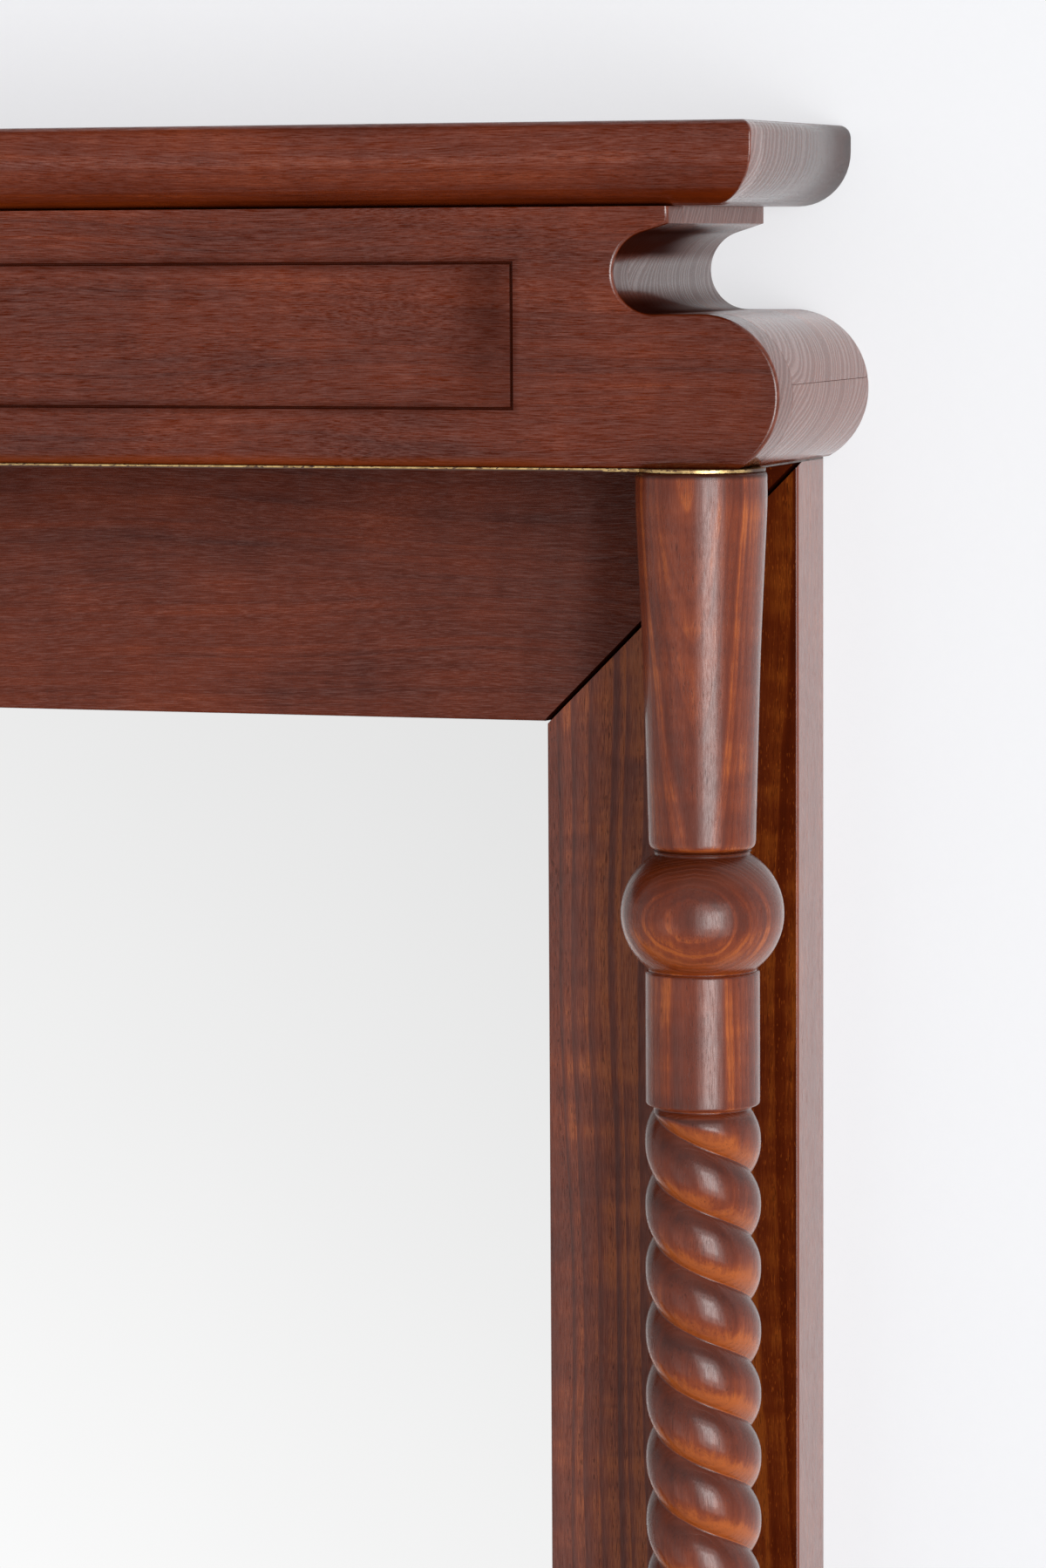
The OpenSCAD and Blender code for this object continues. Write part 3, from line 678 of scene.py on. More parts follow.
class OVERMANTEL_OT_columns(Operator):
    """Turns the two columns and cuts their twists"""

    bl_idname = "overmantel.columns"
    bl_label = "Columns"

    # Distances along the column from its nearer end, and radii, in millimetres
    head_knots = ((3.2, 22.8), (12, 22.8), (34, 21.8), (64, 20.45), (96, 19.55), (128, 18.7))
    head_end = 131.4
    top_round = 1.6  # of the head's upper edge
    heel_at, heel_round = 128.8, 2.5  # of its lower edge
    quirk_at, quirk_round = 132.6, 0.9  # between the head and the ball
    ball_mid, ball_half, ball_arc, ball_centre_r = 153.8, 18.9, 24.1, 4.4
    ball_end = (173.2, 19.0)
    collar_at, collar_end, collar_round = 173.6, 221.0, 1.2
    rope_at = 222.0
    rope_neck_r = 17.5
    rope_swell = 8.0
    rope_power = 2.3  # how full the strands are between the grooves
    rope_start_turn = 10.25  # degrees
    ring_pitch = 1.1  # at most this height between two rings of the twist

    def end_profile(self, sizes):
        """The turned end from the spigot to the twist, as (distance from the end, radius)."""
        head, collar, neck = (r / MM for r in (sizes.head_r, sizes.collar_r, sizes.neck_r))
        spigot_r, spigot_l = sizes.spigot_r / MM, sizes.spigot_l / MM
        top, edge = self.top_round, self.collar_round
        heel_r = self.head_knots[-1][1] - self.heel_round - 0.1
        reach = math.degrees(math.asin(self.ball_half / self.ball_arc))
        points = [(-spigot_l, 0.0), (-spigot_l, spigot_r), (0.0, spigot_r), (0.0, head - top - 1)]
        points += arc((top, head - top), top, 180, 90, 5)
        points += through(self.head_knots, 5)
        points += arc((self.heel_at, heel_r), self.heel_round, 86, 0, 6)
        points += arc((self.quirk_at, neck + 0.5), self.quirk_round, 200, 300, 3)
        points += arc((self.ball_mid, self.ball_centre_r), self.ball_arc, 90 + reach, 90 - reach, 26)
        points += [self.ball_end]
        points += arc((self.collar_at + edge, collar - edge), edge, 180, 90, 4)
        points += [(self.collar_at + edge + 1, collar), (self.collar_end - edge - 1, collar)]
        points += arc((self.collar_end - edge, collar - edge), edge, 90, 0, 4)
        points += [(self.collar_end + 0.1, self.rope_neck_r + 0.3)]
        return points

    def rope_profile(self, sizes, rope_l):
        """The twist before it is cut, as (distance from its start, radius)."""
        rings = math.ceil(rope_l / self.ring_pitch)
        crest, neck = sizes.rope_r / MM, self.rope_neck_r
        points = []
        for i in range(rings + 1):
            along = rope_l * i / rings
            near = min(along, rope_l - along, self.rope_swell) / self.rope_swell
            points.append((along, neck + (crest - neck) * math.sqrt(1 - (1 - near) ** 2)))
        return points

    def cut_grooves(self, piece, sizes, top, foot):
        """Cuts two straight grooves down the turned stretch between two heights."""
        crest, depth = sizes.rope_r, sizes.rope_depth
        for vertex in piece.data.vertices:
            place = vertex.co
            if foot - TINY <= place.z <= top + TINY:
                turn = math.degrees(math.atan2(place.y, place.x)) % 180
                off_crest = abs(turn / 90 - 1)
                cut = crest - depth * off_crest**self.rope_power
                radius = math.hypot(place.x, place.y)
                if radius > cut:
                    place.x *= cut / radius
                    place.y *= cut / radius

    def twist(self, piece, top, foot, turns):
        """Twists the stretch between two heights; what is above and below it turns along."""
        heights = [v.co.z for v in piece.data.vertices]
        low, tall = min(heights), max(heights) - min(heights)
        limits = ((foot - low) / tall, (top - low) / tall)
        settings = {"deform_method": "TWIST", "deform_axis": "Z", "limits": limits}
        apply_modifier(piece, "SIMPLE_DEFORM", angle=math.radians(360 * turns), **settings)

    def execute(self, context):
        sizes = context.scene.overmantel_sizes
        head_z, foot_z = COLUMN_HIGH.z - sizes.spigot_l, COLUMN_LOW.z + sizes.spigot_l
        column_l = (head_z - foot_z) / MM
        end = self.end_profile(sizes)
        rope_l = column_l - 2 * self.rope_at
        rope = [(self.rope_at + along, r) for along, r in self.rope_profile(sizes, rope_l)]
        profile = end + rope + [(column_l - along, r) for along, r in reversed(end)]
        points = [Vector((r * MM, 0, -along * MM)) for along, r in profile]
        piece = start_piece("turned_column", points[0])
        draw_on(points)
        select_mesh()
        bpy.ops.mesh.spin(steps=sizes.turned_steps, angle=2 * math.pi, center=(0, 0, 0), axis=(0, 0, 1))
        mend_normals()
        object_mode()
        top, foot = -self.rope_at * MM, -(self.rope_at + rope_l) * MM
        self.cut_grooves(piece, sizes, top, foot)
        self.twist(piece, top, foot, -rope_l * MM / sizes.rope_lead)
        self.turn_to(piece, top, self.rope_start_turn)
        piece.location = (COLUMN_MID.x, COLUMN_MID.y, head_z)
        bpy.ops.object.transform_apply(location=True, rotation=True, scale=True)
        piece.name = piece.data.name = "column_right_turned"
        twin = mirrored_copy(piece, "column_left_turned")
        # Painted shade: what faces up is darker, and so are the head's top under the frieze and the quirk
        # under the head
        stain = {"gloss": 0.58, "sides": 0.58, "top_shade": 0.5, "tone": -0.09}
        figure = {"ring_width": 1.4, "rings": 0.18, "stripes": 0.6, "waver": 0.5}
        figure.update(ripple=0.55, pores=0.35, fine=0.4, calm=self.off_twist, gather=self.in_quirks)
        for side, made in (("right", piece), ("left", twin)):
            pith = (SIDES[side] * (COLUMN_MID.x - 8 * MM), COLUMN_MID.y + 61 * MM, 0)
            shift = 37 + 90 * SIDES[side]
            wood = stained_wood(f"Turned {side} column", "z", pith, shift=shift, **stain, **figure)
            finish_piece(made, wood, [f"column_{side}"])
        return {"FINISHED"}

    def from_nearer_end(self, nodes, place):
        """How far a place is from the nearer end of the column."""
        off_middle = nodes.maths("SUBTRACT", nodes.parts(place)["Z"], COLUMN_MID.z)
        off_middle = nodes.absolute(off_middle)
        half = COLUMN_HIGH.z - bpy.context.scene.overmantel_sizes.spigot_l - COLUMN_MID.z
        return nodes.maths("SUBTRACT", half, off_middle)

    def off_twist(self, nodes, place):
        """Less of the rings shows on the twist, where the chisel has crossed them."""
        along = self.from_nearer_end(nodes, place)
        return nodes.between(along, (self.rope_at - 2) * MM, (self.rope_at + 4) * MM, 1, 0.35)

    def in_quirks(self, nodes, place):
        """Painted shade at the top of the head under the frieze and in the quirk between the head and the
        ball.
        """
        along = self.from_nearer_end(nodes, place)
        at_end = nodes.between(along, 1.2 * MM, 2.8 * MM, 0.8, 0)
        past_head = nodes.maths("SUBTRACT", along, self.head_end * MM)
        in_quirk = nodes.between(past_head, 1 * MM, 12 * MM, 0.6, 0)
        in_quirk = nodes.product(in_quirk, nodes.between(past_head, -1 * MM, 0))
        return nodes.largest(at_end, in_quirk)

    def turn_to(self, piece, top, start_turn):
        """Turns the piece about its axis until a groove starts at this angle at the top of the twist."""
        at_top = [v.co for v in piece.data.vertices if abs(v.co.z - top) < TINY]
        deepest = min(at_top, key=lambda co: math.hypot(co.x, co.y))
        turn = math.radians(start_turn) - math.atan2(deepest.y, deepest.x)
        piece.rotation_euler = (0, 0, turn)


class OVERMANTEL_OT_frieze(Operator):
    """Makes the frieze's front board, with its S-shaped ends and its panel, and the blocks behind it"""

    bl_idname = "overmantel.frieze"
    bl_label = "Frieze"

    slope_turn = 18  # degrees
    bead_steps, cove_steps = 28, 30

    def end_outline(self, sizes):
        """The S-shaped right end from the foot to the top, as (x, z) in metres."""
        height = FRIEZE_HIGH.z - FRIEZE_LOW.z
        cove = (sizes.cove_r - sizes.cove_in, height - sizes.fillet_h - sizes.slope_h - sizes.cove_r)
        bead = (sizes.bead_out - sizes.bead_r, cove[1] - sizes.cove_r - sizes.bead_r)
        foot_turn = -math.degrees(math.asin(bead[1] / sizes.bead_r))
        points = arc(bead, sizes.bead_r, foot_turn, 90, self.bead_steps)
        points += arc(cove, sizes.cove_r, -90, -270 + self.slope_turn, self.cove_steps)
        points += [(-sizes.fillet_in, height - sizes.fillet_h), (-sizes.fillet_in, height)]
        return [(FRAME_HALF + x, FRIEZE_LOW.z + z) for x, z in points]

    def along_groove(self, nodes, place):
        """How much darker the wood is made along the groove round the panel, inside the ends of the panel
        and toward the lobes.
        """
        sizes = bpy.context.scene.overmantel_sizes
        x, _, z = nodes.parts(place)
        x = nodes.absolute(x)
        low, high = FRIEZE_LOW.z + sizes.panel_low, FRIEZE_HIGH.z - sizes.panel_high
        beyond = nodes.maths("SUBTRACT", x, FRAME_HALF - sizes.panel_in)
        above = nodes.absolute(nodes.maths("SUBTRACT", z, (low + high) / 2))
        above = nodes.maths("SUBTRACT", above, (high - low) / 2)
        edge = nodes.largest(beyond, above)
        patchy = nodes.noise(place, scale=55, detail=3)
        off_groove = nodes.absolute(nodes.maths("ADD", edge, sizes.groove / 2))
        smear = nodes.between(off_groove, 0.8 * MM, 3.5 * MM, 0.5, 0)
        smear = nodes.product(smear, nodes.between(patchy, 0.3, 0.6, 0.5, 1))
        line = nodes.between(off_groove, 0.4 * MM, 0.9 * MM, 0.85, 0)
        inside = nodes.between(edge, -2 * MM, 0, 1, 0)
        cloud = nodes.product(nodes.between(beyond, -34 * MM, -4 * MM, 0, 0.6), inside)
        cloud = nodes.product(cloud, nodes.between(patchy, 0.35, 0.6, 0.5, 1))
        lobe = nodes.between(x, FRAME_HALF - 50 * MM, FRAME_HALF + 10 * MM, 0, 0.14)
        return nodes.largest(smear, line, cloud, lobe)

    def in_cove(self, nodes, place, normal):
        """Painted shade for the reflections in the cove, the fillet and along the foot, painted shade in
        the cove's colour, and a painted lit band along the foot.
        """
        sizes = bpy.context.scene.overmantel_sizes
        x, y, z = nodes.parts(place)
        x = nodes.absolute(x)
        cove_x = FRAME_HALF - sizes.cove_in + sizes.cove_r
        side = nodes.between(nodes.absolute(normal["Y"]), 0.3, 0.7, 1, 0)
        cove = nodes.product(nodes.between(x, cove_x - 4 * MM, cove_x + 10 * MM, 1, 0), side)
        # The painted shade is deepest near the front, and less so toward the wall
        ceiling = nodes.between(normal["Z"], -0.5, -0.15, 1, 0.15)
        ceiling = nodes.product(ceiling, nodes.between(y, 5 * MM, 65 * MM, 0.97, 0.4))
        level = nodes.between(normal["Z"], 0.25, 0.8, 0.15, 1)
        level = nodes.product(level, nodes.between(y, FRIEZE_HIGH.y - 6 * MM, WALL_Y, 1, 0.52))
        in_cove = nodes.product(cove, nodes.largest(ceiling, level))
        fillet_z = FRIEZE_HIGH.z - sizes.fillet_h
        fillet = nodes.product(nodes.between(z, fillet_z - 1 * MM, fillet_z, 0, 0.34), side)
        # A painted lit band along the foot, where the reflections are also dimmed
        foot = nodes.between(z, FRIEZE_LOW.z + 1.8 * MM, FRIEZE_LOW.z + 4.2 * MM, 1, 0)
        foot = nodes.product(foot, nodes.between(x, 0.47, 0.5, 1, 0))
        reflection_shade = nodes.largest(in_cove, fillet, nodes.product(foot, 0.7))
        # Painted shade in the colour of the cove
        dark = nodes.largest(in_cove, nodes.product(cove, 0.6))
        return reflection_shade, dark, nodes.product(foot, 0.1)

    def front_board(self, sizes, outline):
        front, back = FRIEZE_LOW.y, FRIEZE_HIGH.y
        right = [Vector((x, front, z)) for x, z in outline]
        left = [Vector((-x, front, z)) for x, z in reversed(outline)]
        piece = start_piece("frieze_front_moulded", right[0])
        draw_on(right + left)
        close_outline(piece, back - front)
        top = FRIEZE_HIGH.z

        object_mode()
        weights = piece.data.attributes.new("bevel_weight_edge", "FLOAT", "EDGE")
        foot = FRIEZE_LOW.z + TINY
        for edge in piece.data.edges:
            ends = [piece.data.vertices[i].co for i in edge.vertices]
            in_front = all(abs(p.y - front) < TINY for p in ends)
            if in_front and any(p.z < top - TINY for p in ends):
                at_foot = all(p.z < foot for p in ends)
                weights.data[edge.index].value = 1.0 if at_foot else sizes.frieze_edge / sizes.foot_edge
        settings = {"limit_method": "WEIGHT", "use_clamp_overlap": False}
        apply_modifier(piece, "BEVEL", width=sizes.foot_edge, segments=5, **settings)
        ease(piece, sizes.seam_edge, 50)
        self.cut_panel(piece, sizes)
        stain = {"gloss": 0.4, "under": 1.1, "film": 1.75, "tone": 0.17}
        # in_cove paints shade in the cove and the fillet and a lit band along the foot
        figure = {"ring_width": 3.4, "rings": 0.12, "gather": self.along_groove, "painted_light_and_shade": self.in_cove}
        wood = stained_wood("Frieze front board", "x", (0, 0.16, 0.74), shift=20, **stain, **figure)
        finish_piece(piece, wood, ["frieze_front_board"])

    def cut_panel(self, piece, sizes):
        """Cuts the groove round the panel with a thin frame."""
        half = FRAME_HALF - sizes.panel_in
        low = Vector((-half, FRIEZE_LOW.y - MM, FRIEZE_LOW.z + sizes.panel_low))
        high = Vector((half, FRIEZE_LOW.y - MM, FRIEZE_HIGH.z - sizes.panel_high))
        corners = [low, Vector((high.x, low.y, low.z)), high, Vector((low.x, low.y, high.z))]
        cutter = start_piece("groove_cutter", low)
        draw_on(corners)
        fill_outline(cutter)
        bpy.ops.mesh.select_mode(type="FACE")
        bpy.ops.mesh.inset(thickness=sizes.groove)
        bpy.ops.mesh.delete(type="FACE")
        select_mesh()
        bpy.ops.mesh.extrude_region_move(TRANSFORM_OT_translate={"value": (0, MM + sizes.groove, 0)})
        mend_normals()
        object_mode()
        apply_modifier(piece, "BOOLEAN", object=cutter, operation="DIFFERENCE", solver="EXACT")
        bpy.data.objects.remove(cutter)

    def end_block(self, sizes, outline, name, low, high):
        """One layer of the solid end behind the front board, between two heights."""
        inner = BLOCK_LOW.x
        front, back = FRIEZE_HIGH.y, WALL_Y
        points = [(inner, outline[-1][1]), (inner, outline[0][1])] + outline
        points = [Vector((x, front, z)) for x, z in points]
        piece = start_piece(name, points[0])
        draw_on(points)
        close_outline(piece, back - front)
        for height, clear_above in ((high, True), (low, False)):
            select_mesh()
            bpy.ops.mesh.bisect(
                plane_co=(0, 0, height),
                plane_no=(0, 0, 1),
                use_fill=True,
                clear_outer=clear_above,
                clear_inner=not clear_above,
            )
        mend_normals()
        object_mode()
        ease(piece, sizes.seam_edge, 50)
        return piece

    def execute(self, context):
        sizes = context.scene.overmantel_sizes
        outline = self.end_outline(sizes)
        self.front_board(sizes, outline)
        stain = {"under": 1.1, "film": 2.05, "tone": -0.1}
        # in_cove paints shade in the cove and the fillet and a lit band along the foot
        figure = {"ring_width": 3.0, "rings": 0.5, "painted_light_and_shade": self.in_cove}
        layers = {
            "lower": (FRIEZE_LOW.z, SEAM_Z, (0, -0.06, 0.92)),
            "upper": (SEAM_Z, FRIEZE_HIGH.z, (0, -0.05, 0.955)),
        }
        for layer, (low, high, pith) in layers.items():
            right = self.end_block(sizes, outline, f"frieze_{layer}_right_moulded", low, high)
            left = mirrored_copy(right, f"frieze_{layer}_left_moulded")
            for side, piece in (("right", right), ("left", left)):
                name, shift = f"Frieze {layer} {side} block", 300 * SIDES[side]
                wood = stained_wood(name, "x", pith, shift=shift, **stain, **figure)
                finish_piece(piece, wood, [f"frieze_end_{layer}_{side}"])
        inner = stained_wood("Frieze rails", "x", (0, 0.2, 0.75), gloss=0)
        dress_nodes(inner, "inner_wood", "frieze_bottom_rail", "frieze_top_rail", "frieze_back_rail")
        return {"FINISHED"}


class OVERMANTEL_OT_boards(Operator):
    """Makes the crown board and the base board"""

    bl_idname = "overmantel.boards"
    bl_label = "Crown and base boards"

    round_steps, easing_steps = 12, 5
    mitre_eased = 0.8  # share of the large round over which its mitre is eased

    def moulded_board(self, sizes, node, large_round_below):
        """A plank with a large round on one edge and a small one on the other, in front and at its ends."""
        low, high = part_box(node)
        piece = block(node + "_moulded", low, high)

        def on_rim(edge, height):
            ends = [v.co for v in edge.verts]
            if all(abs(p.y - high.y) < TINY for p in ends):
                return False
            gaps = [(p.y - low.y, p.x - low.x, p.x - high.x) for p in ends]
            outside = all(min(map(abs, gap)) < TINY for gap in gaps)
            return outside and all(abs(p.z - height) < TINY for p in ends)

        def on_mitre(edge, start, end):
            gaps = [(v.co.y - low.y, high.x - abs(v.co.x)) for v in edge.verts]
            along = [gap / sizes.quarter_r for gap, _ in gaps]
            return all(abs(a - b) < TINY for a, b in gaps) and all(start <= a < end for a in along)

        def bevel(radius, steps, clamp):
            settings = {"profile": 0.5, "affect": "EDGES", "clamp_overlap": clamp}
            bpy.ops.mesh.bevel(offset=radius, segments=steps, **settings)

        heights = (low.z, high.z) if large_round_below else (high.z, low.z)
        rounds = ((sizes.quarter_r, self.round_steps), (sizes.easing_r, self.easing_steps))
        for height, (radius, steps) in zip(heights, rounds):
            choose(piece, "edges", lambda edge: on_rim(edge, height))
            bevel(radius, steps, False)
        choose(piece, "edges", lambda edge: on_mitre(edge, self.mitre_eased, 2))
        bpy.ops.mesh.mark_sharp()
        choose(piece, "edges", lambda edge: on_mitre(edge, -1, self.mitre_eased))
        bevel(sizes.corner_edge, 3, True)
        mend_normals()
        return piece

    def execute(self, context):
        sizes = context.scene.overmantel_sizes
        stain = {"gloss": 0.36, "under": 1.1, "film": 1.82, "tone": 0.09}
        figure = {"ring_width": 4.4, "rings": 0.12, "waver": 0.5}
        boards = {
            "crown_board": ("Board over the frieze", (0, -0.085, 0.955), -250, True),
            "base_board": ("Base board", (0, -0.04, 0.08), 640, False),
        }
        for node, (name, pith, shift, large_round_below) in boards.items():
            piece = self.moulded_board(sizes, node, large_round_below)
            wood = stained_wood(name, "x", pith, shift=shift, **stain, **figure)
            finish_piece(piece, wood, [node])
        return {"FINISHED"}


class OVERMANTEL_OT_frame(Operator):
    """Eases the edges of the four mitred members of the frame, and finishes the backing"""

    bl_idname = "overmantel.frame"
    bl_label = "Frame"

    def eased_copy(self, node, width):
        """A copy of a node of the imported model, with its sharp edges eased."""
        piece = copy_of(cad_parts[node], node + "_eased")
        bpy.ops.object.mode_set(mode="EDIT")
        mend_normals()
        select_mesh()
        bpy.ops.mesh.dissolve_limited(angle_limit=math.radians(0.5))
        object_mode()
        ease(piece, width, 35, segments=3)
        return piece

    def behind_column(self, nodes, place, normal):
        """Painted shadow by the columns and under the frieze and painted shade in the mitres, first for the
        reflections and then for the colour, and painted glints on pores.
        """
        x, _, z = nodes.parts(place)
        x = nodes.absolute(x)
        in_front = nodes.between(nodes.absolute(normal["X"]), 0.2, 0.6, 1, 0)
        slanting = nodes.absolute(nodes.product(normal["X"], normal["Z"]))
        in_mitre = nodes.between(slanting, 0.3, 0.42)
        # Painted shadow of the column beside it and on the strip outside it, and painted shadow of the
        # frieze
        near = nodes.between(x, FRAME_HALF - 90 * MM, FRAME_HALF - 70 * MM)
        outside = nodes.between(x, FRAME_HALF - 40 * MM, FRAME_HALF - 15 * MM)
        under_frieze = nodes.between(z, STILE_HIGH.z - 50 * MM, STILE_HIGH.z, 0, 0.4)
        # The first share dims the reflections and the second darkens the colour, both as painted shade
        shares = []
        for at_edge, at_column in ((0.5, 0.45), (0.12, 0.5)):
            share = nodes.maths("MULTIPLY_ADD", outside, at_edge, nodes.product(near, at_column))
            share = nodes.product(nodes.largest(share, under_frieze), in_front)
            shares.append(nodes.largest(share, in_mitre))
        # Painted glints on pores in the strip outside the column
        pores = nodes.noise(place, (2600, 2600, 420), detail=0)
        pores = nodes.between(pores, 0.73, 0.8, 0, 0.3)
        return *shares, nodes.product(pores, outside, in_front)

    def execute(self, context):
        sizes = context.scene.overmantel_sizes
        rail = {"gloss": 0.2, "tone": 0.14, "rings": 0.15, "pores": 0.15}
        stile = {"gloss": 0.8, "tone": -0.15, "rings": 0.5, "stripes": 0.9, "pores": 0.5, "ripple": 0.6}
        members = {
            "frame_top_rail": ("x", (0, 0.16, STILE_HIGH.z + 0.06), 10, rail),
            "frame_bottom_rail": ("x", (0, 0.15, STILE_LOW.z - 0.05), 510, rail),
            "frame_stile_right": ("z", (FRAME_HALF + 0.06, 0.12, 0), -330, stile),
            "frame_stile_left": ("z", (-FRAME_HALF - 0.05, 0.13, 0), 170, stile),
        }
        for node, (grain, pith, shift, figure) in members.items():
            name = node.replace("_", " ").capitalize()
            # behind_column paints the shadows of the columns and the frieze, shade in the mitres and glints
            # on pores
            figure = {"painted_light_and_shade": self.behind_column, "ring_width": 5.5, "waver": 0.7, **figure}
            wood = stained_wood(name, grain, pith, shift=shift, **figure)
            finish_piece(self.eased_copy(node, sizes.frame_edge), wood, [node])
        dress_nodes(made_by(plywood, "Raw plywood"), "plywood", "mitre_tongues", "backing_board")
        return {"FINISHED"}


class OVERMANTEL_OT_gilding(Operator):
    """Gilds the slip under the frieze and the discs under the columns"""

    bl_idname = "overmantel.gilding"
    bl_label = "Gilding"

    def execute(self, context):
        dress_nodes(made_by(worn_gold, "Worn gold leaf"), "gilding", "gilt_slip", "gilt_foot_discs")
        return {"FINISHED"}


class OVERMANTEL_OT_glass(Operator):
    """Silvers the mirror glass and finishes the pads that carry it"""

    bl_idname = "overmantel.glass"
    bl_label = "Glass"

    def execute(self, context):
        dress_nodes(made_by(silvered_glass, "Silvered glass"), "mirror_glass", "mirror_glass")
        dress_nodes(made_by(pressed_cork, "Pressed cork"), "cork", "glass_pads")
        return {"FINISHED"}


class OVERMANTEL_OT_hardware(Operator):
    """Finishes the screws and the hanger plates"""

    bl_idname = "overmantel.hardware"
    bl_label = "Screws and hanger plates"

    def execute(self, context):
        screws = ["backing_screws", "base_screws", "frieze_screws", "crown_screws", "hanger_screws"]
        steel = made_by(zinc_steel, "Zinc-plated steel")
        dress_nodes(steel, "steel", *screws, "hanger_plate_left", "hanger_plate_right")
        return {"FINISHED"}


class OVERMANTEL_OT_stage(Operator):
    """Sets up the wall, the shelf, the light and the camera"""

    bl_idname = "overmantel.stage"
    bl_label = "Stage"

    camera_place = (1.0711, -1.8213, 0.9100)
    camera_yaw, camera_pitch, camera_roll = 18.563, -5.792, -0.334
    lens, sensor = 124.04, 36
    lamp_place, lamp_aim = (5.36, -7.65, 0.14), (0.5, 0, 0.68)
    lamps = (("Window", (4.2, 4.5), 400), ("Curtain", (8.4, 9.2), 400))  # sizes in metres, and watts
    wall_size, shelf_size = 8, (8, 3.2)
    # How bright the room is at these heights, from straight down to straight up: first to the left of
    # the mirror, then ahead of it, then to its right
    heights = (0.0, 0.067, 0.146, 0.25, 0.371, 0.5, 0.629, 0.75, 0.933, 1.0)
    glows = (
        (0.36, 0.36, 0.37, 0.46, 0.60, 0.63, 0.53, 0.39, 0.21, 0.24),
        (0.36, 0.52, 0.54, 0.64, 0.74, 0.76, 0.69, 0.66, 0.62, 0.24),
        (0.36, 0.56, 0.58, 0.58, 0.69, 0.68, 0.60, 0.50, 0.53, 0.24),
    )

    def camera(self, context):
        data = bpy.data.cameras.new("Camera")
        data.lens = self.lens
        data.sensor_width = self.sensor
        camera = bpy.data.objects.new("Camera", data)
        context.scene.collection.objects.link(camera)
        camera.location = self.camera_place
        turn = (
            Matrix.Rotation(math.radians(self.camera_yaw), 3, "Z")
            @ Matrix.Rotation(math.radians(90 + self.camera_pitch), 3, "X")
            @ Matrix.Rotation(math.radians(self.camera_roll), 3, "Z")
        )
        camera.rotation_euler = turn.to_euler()
        context.scene.camera = camera

    def wall(self, colours):
        """A wall with an opening that the back of the object covers, so that its back has light too."""
        bpy.ops.object.select_all(action="DESELECT")
        behind, upright = (0, WALL_Y + 0.2 * MM, 1.0), (math.pi / 2, 0, 0)
        bpy.ops.mesh.primitive_plane_add(size=self.wall_size, location=behind, rotation=upright)
        wall = bpy.context.active_object
        wall.name = "wall"
        bpy.ops.object.transform_apply(location=True, rotation=True, scale=True)
        bpy.ops.object.mode_set(mode="EDIT")
        # Wide behind the frame, and narrower where it goes on behind the frieze and the two boards
        margin, inset, reach = 3 * MM, 45 * MM, 24 * MM
        wide, narrow = FRAME_HALF - margin, FRAME_HALF - inset
        frame_low, frame_high = STILE_LOW.z + margin, STILE_HIGH.z - margin
        low, high = STILE_LOW.z - reach, FRIEZE_HIGH.z + reach
        cuts = [((x, 0, 0), (1, 0, 0)) for x in (-wide, -narrow, narrow, wide)]
        cuts += [((0, 0, z), (0, 0, 1)) for z in (low, frame_low, frame_high, high)]
        for place, normal in cuts:
            select_mesh()
            bpy.ops.mesh.bisect(plane_co=place, plane_no=normal)
        tiny = 0.1 * MM

        def hidden(face):
            p = face.calc_center_median()
            in_frame = abs(p.x) < wide + tiny and frame_low - tiny < p.z < frame_high + tiny
            in_middle = abs(p.x) < narrow + tiny and low - tiny < p.z < high + tiny
            return in_frame or in_middle

        choose(wall, "faces", hidden)
        bpy.ops.mesh.delete(type="FACE")
        object_mode()
        wall.data.materials.append(self.plaster(colours, "Painted wall"))
        return wall

    def plaster(self, colours, name):
        """Pale paint, seen only from its front."""
        material, nodes, shader = new_material(name)
        roller = nodes.noise(nodes.texture("Object"), scale=260, detail=3, roughness=0.6)
        shade = nodes.mix(nodes.between(roller, 0.3, 0.7), darker(colours.wall, 0.985), rgba(colours.wall))
        finish = {"Base Color": shade, "Roughness": 0.85, "Normal": nodes.bump(roller, 0.12, 0.5)}
        nodes.fill(shader, finish)
        # The camera and the mirror see it for a large share as evenly lit
        path = nodes.add("ShaderNodeLightPath").outputs
        reflected = nodes.largest(path["Is Glossy Ray"], path["Is Transmission Ray"])
        white = nodes.add("ShaderNodeEmission", {0: rgba(colours.wall_lit)}).outputs[0]
        share = nodes.product(path["Is Camera Ray"], 0.68)
        share = nodes.largest(share, nodes.product(reflected, 0.9))
        pale = nodes.blend(share, shader.outputs[0], white)
        back = nodes.add("ShaderNodeNewGeometry").outputs["Backfacing"]
        clear = nodes.add("ShaderNodeBsdfTransparent").outputs[0]
        surface = nodes.tree.nodes["Material Output"].inputs["Surface"]
        nodes.feed(surface, nodes.blend(back, pale, clear))
        return material

    def floor(self, colours):
        """A pale shelf that throws light up at the object, and that the camera doesn't see."""
        bpy.ops.object.select_all(action="DESELECT")
        bpy.ops.mesh.primitive_plane_add(size=1, location=(0, 0, -0.2 * MM))
        floor = bpy.context.active_object
        floor.name = "floor"
        floor.scale = (*self.shelf_size, 1)
        bpy.ops.object.transform_apply(location=True, rotation=True, scale=True)
        pale = self.plaster(colours, "Painted shelf")
        floor.data.materials.append(pale)
        nodes = Nodes(pale.node_tree)
        output = pale.node_tree.nodes["Material Output"].inputs["Surface"]
        seen = output.links[0].from_socket
        looked_at = nodes.add("ShaderNodeLightPath").outputs["Is Camera Ray"]
        clear = nodes.add("ShaderNodeBsdfTransparent").outputs[0]
        nodes.feed(output, nodes.blend(looked_at, clear, seen))
        return floor

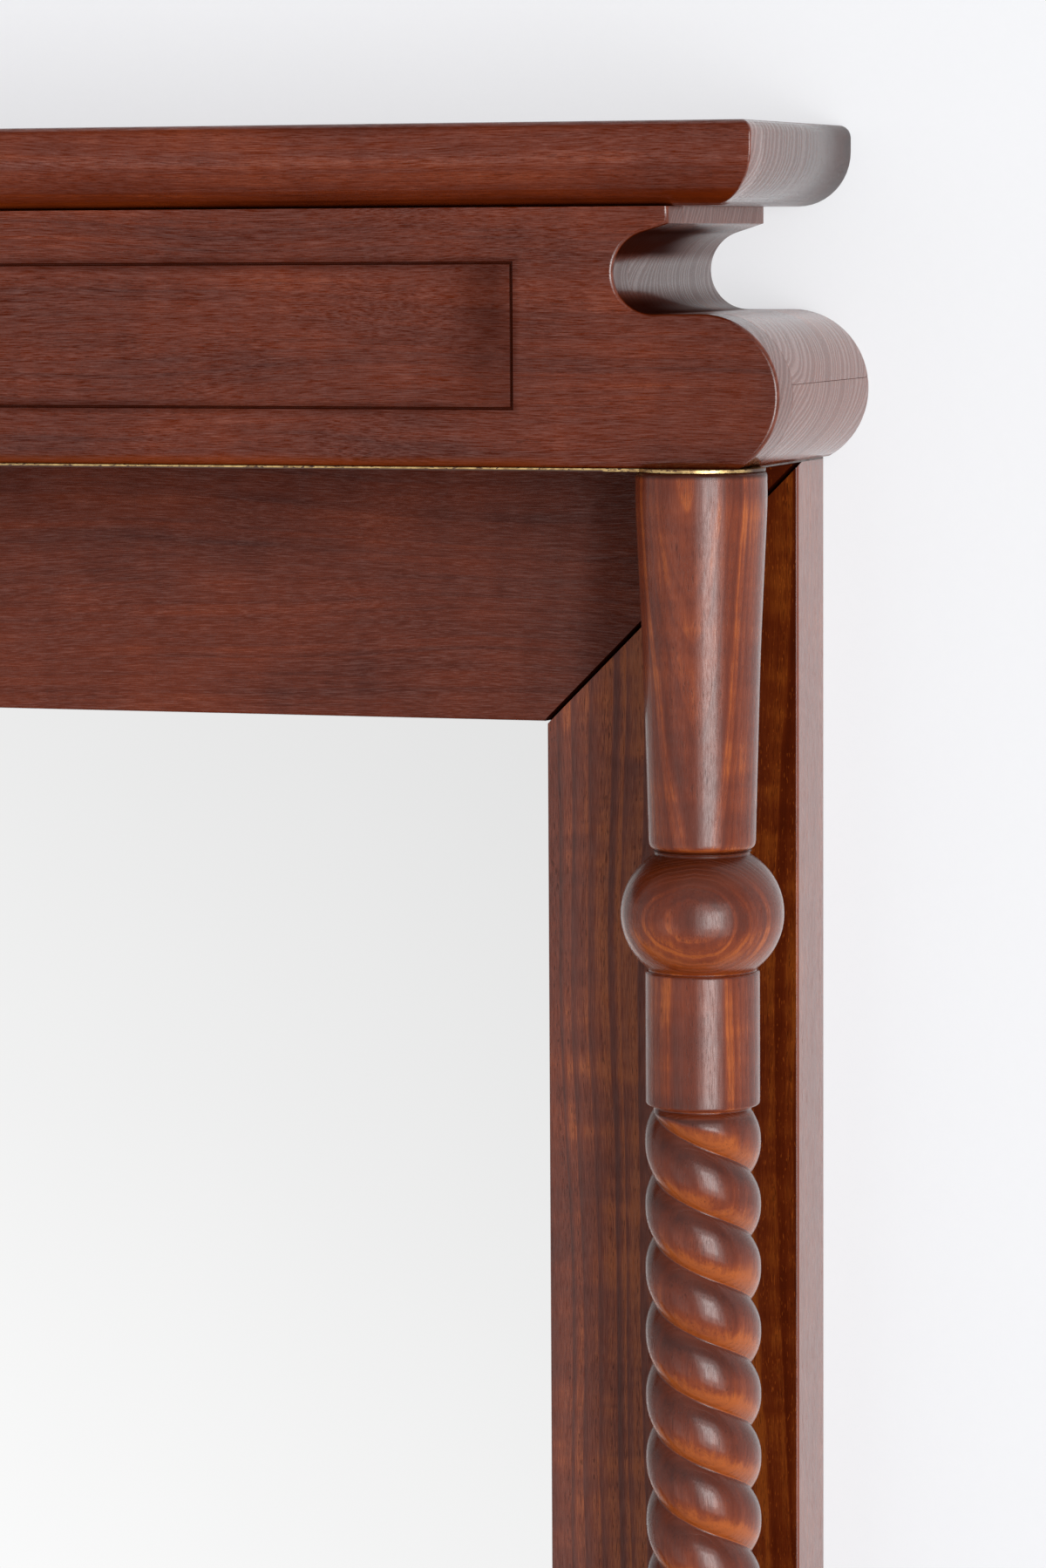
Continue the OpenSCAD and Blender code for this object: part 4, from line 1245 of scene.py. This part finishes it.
    def world(self, context):
        """A pale room, brightest toward the horizon, that is plain where the camera sees it."""
        colours = context.scene.overmantel_colours
        world = bpy.data.worlds.new("Room")
        context.scene.world = world
        world.use_nodes = True
        nodes = Nodes(world.node_tree)
        x, y, z = nodes.parts(nodes.texture("Generated"))
        height = nodes.maths("MULTIPLY_ADD", z, 0.5, 0.5)
        aside = nodes.maths("DEGREES", nodes.maths("ARCTAN2", x, nodes.product(y, -1.0)))
        left, ahead, right = (nodes.ramp(height, tuple(zip(self.heights, glow))) for glow in self.glows)
        glow = nodes.mix(nodes.between(aside, -60, -15), left, ahead)
        glow = nodes.mix(nodes.between(aside, 15, 60), glow, right)
        # The part of the room that the mirror shows the camera fades upwards and toward the middle
        across = nodes.product(nodes.between(aside, -55, -40), nodes.between(aside, -18, -5, 1, 0))
        down = nodes.product(nodes.between(z, -0.5, -0.36), nodes.between(z, -0.07, -0.04, 1, 0))
        upwards = nodes.between(z, -0.36, 0, 1.06, 0.84)
        faded = nodes.product(upwards, nodes.between(aside, -32, -10, 1.08, 0.88))
        glow = nodes.mix(nodes.product(across, down), glow, faded)
        seen = nodes.add("ShaderNodeLightPath").outputs["Is Camera Ray"]
        shade = nodes.mix(seen, glow, rgba(colours.backdrop))
        nodes.feed(world.node_tree.nodes["Background"].inputs["Color"], shade)

    def softbox(self, context, name, size, watts):
        """A rectangular lamp that the camera doesn't see."""
        data = bpy.data.lights.new(name, "AREA")
        data.shape = "RECTANGLE"
        data.size, data.size_y = size
        data.energy = watts
        lamp = bpy.data.objects.new(name, data)
        context.scene.collection.objects.link(lamp)
        lamp.location = self.lamp_place
        ahead = Vector(self.lamp_aim) - Vector(self.lamp_place)
        lamp.rotation_euler = ahead.to_track_quat("-Z", "Y").to_euler()
        lamp.visible_camera = False

    def execute(self, context):
        colours = context.scene.overmantel_colours
        self.camera(context)
        self.wall(colours)
        self.floor(colours)
        self.world(context)
        for name, size, watts in self.lamps:
            self.softbox(context, name, size, watts)
        context.scene.view_settings.view_transform = "Standard"
        return {"FINISHED"}


OPERATORS = (
    OVERMANTEL_OT_columns,
    OVERMANTEL_OT_frieze,
    OVERMANTEL_OT_boards,
    OVERMANTEL_OT_frame,
    OVERMANTEL_OT_gilding,
    OVERMANTEL_OT_glass,
    OVERMANTEL_OT_hardware,
    OVERMANTEL_OT_stage,
)


class OVERMANTEL_PT_tools(Panel):
    bl_idname = "OVERMANTEL_PT_tools"
    bl_label = "Overmantel mirror"
    bl_space_type = "VIEW_3D"
    bl_region_type = "UI"
    bl_category = "Overmantel"

    def draw(self, context):
        column = self.layout.column(align=True)
        for operator in OPERATORS:
            column.operator(operator.bl_idname)
        for group in (context.scene.overmantel_sizes, context.scene.overmantel_colours):
            box = self.layout.box()
            for name in group.bl_rna.properties.keys():
                if name not in ("rna_type", "name"):
                    box.prop(group, name)


CLASSES = (OvermantelSizes, OvermantelColours, *OPERATORS, OVERMANTEL_PT_tools)


def register():
    for made in CLASSES:
        bpy.utils.register_class(made)
    bpy.types.Scene.overmantel_sizes = PointerProperty(type=OvermantelSizes)
    bpy.types.Scene.overmantel_colours = PointerProperty(type=OvermantelColours)


def unregister():
    del bpy.types.Scene.overmantel_sizes, bpy.types.Scene.overmantel_colours
    for made in reversed(CLASSES):
        bpy.utils.unregister_class(made)


def main():
    register()
    for operator in OPERATORS:
        category, name = operator.bl_idname.split(".")
        getattr(getattr(bpy.ops, category), name)()


if __name__ == "__main__":
    main()
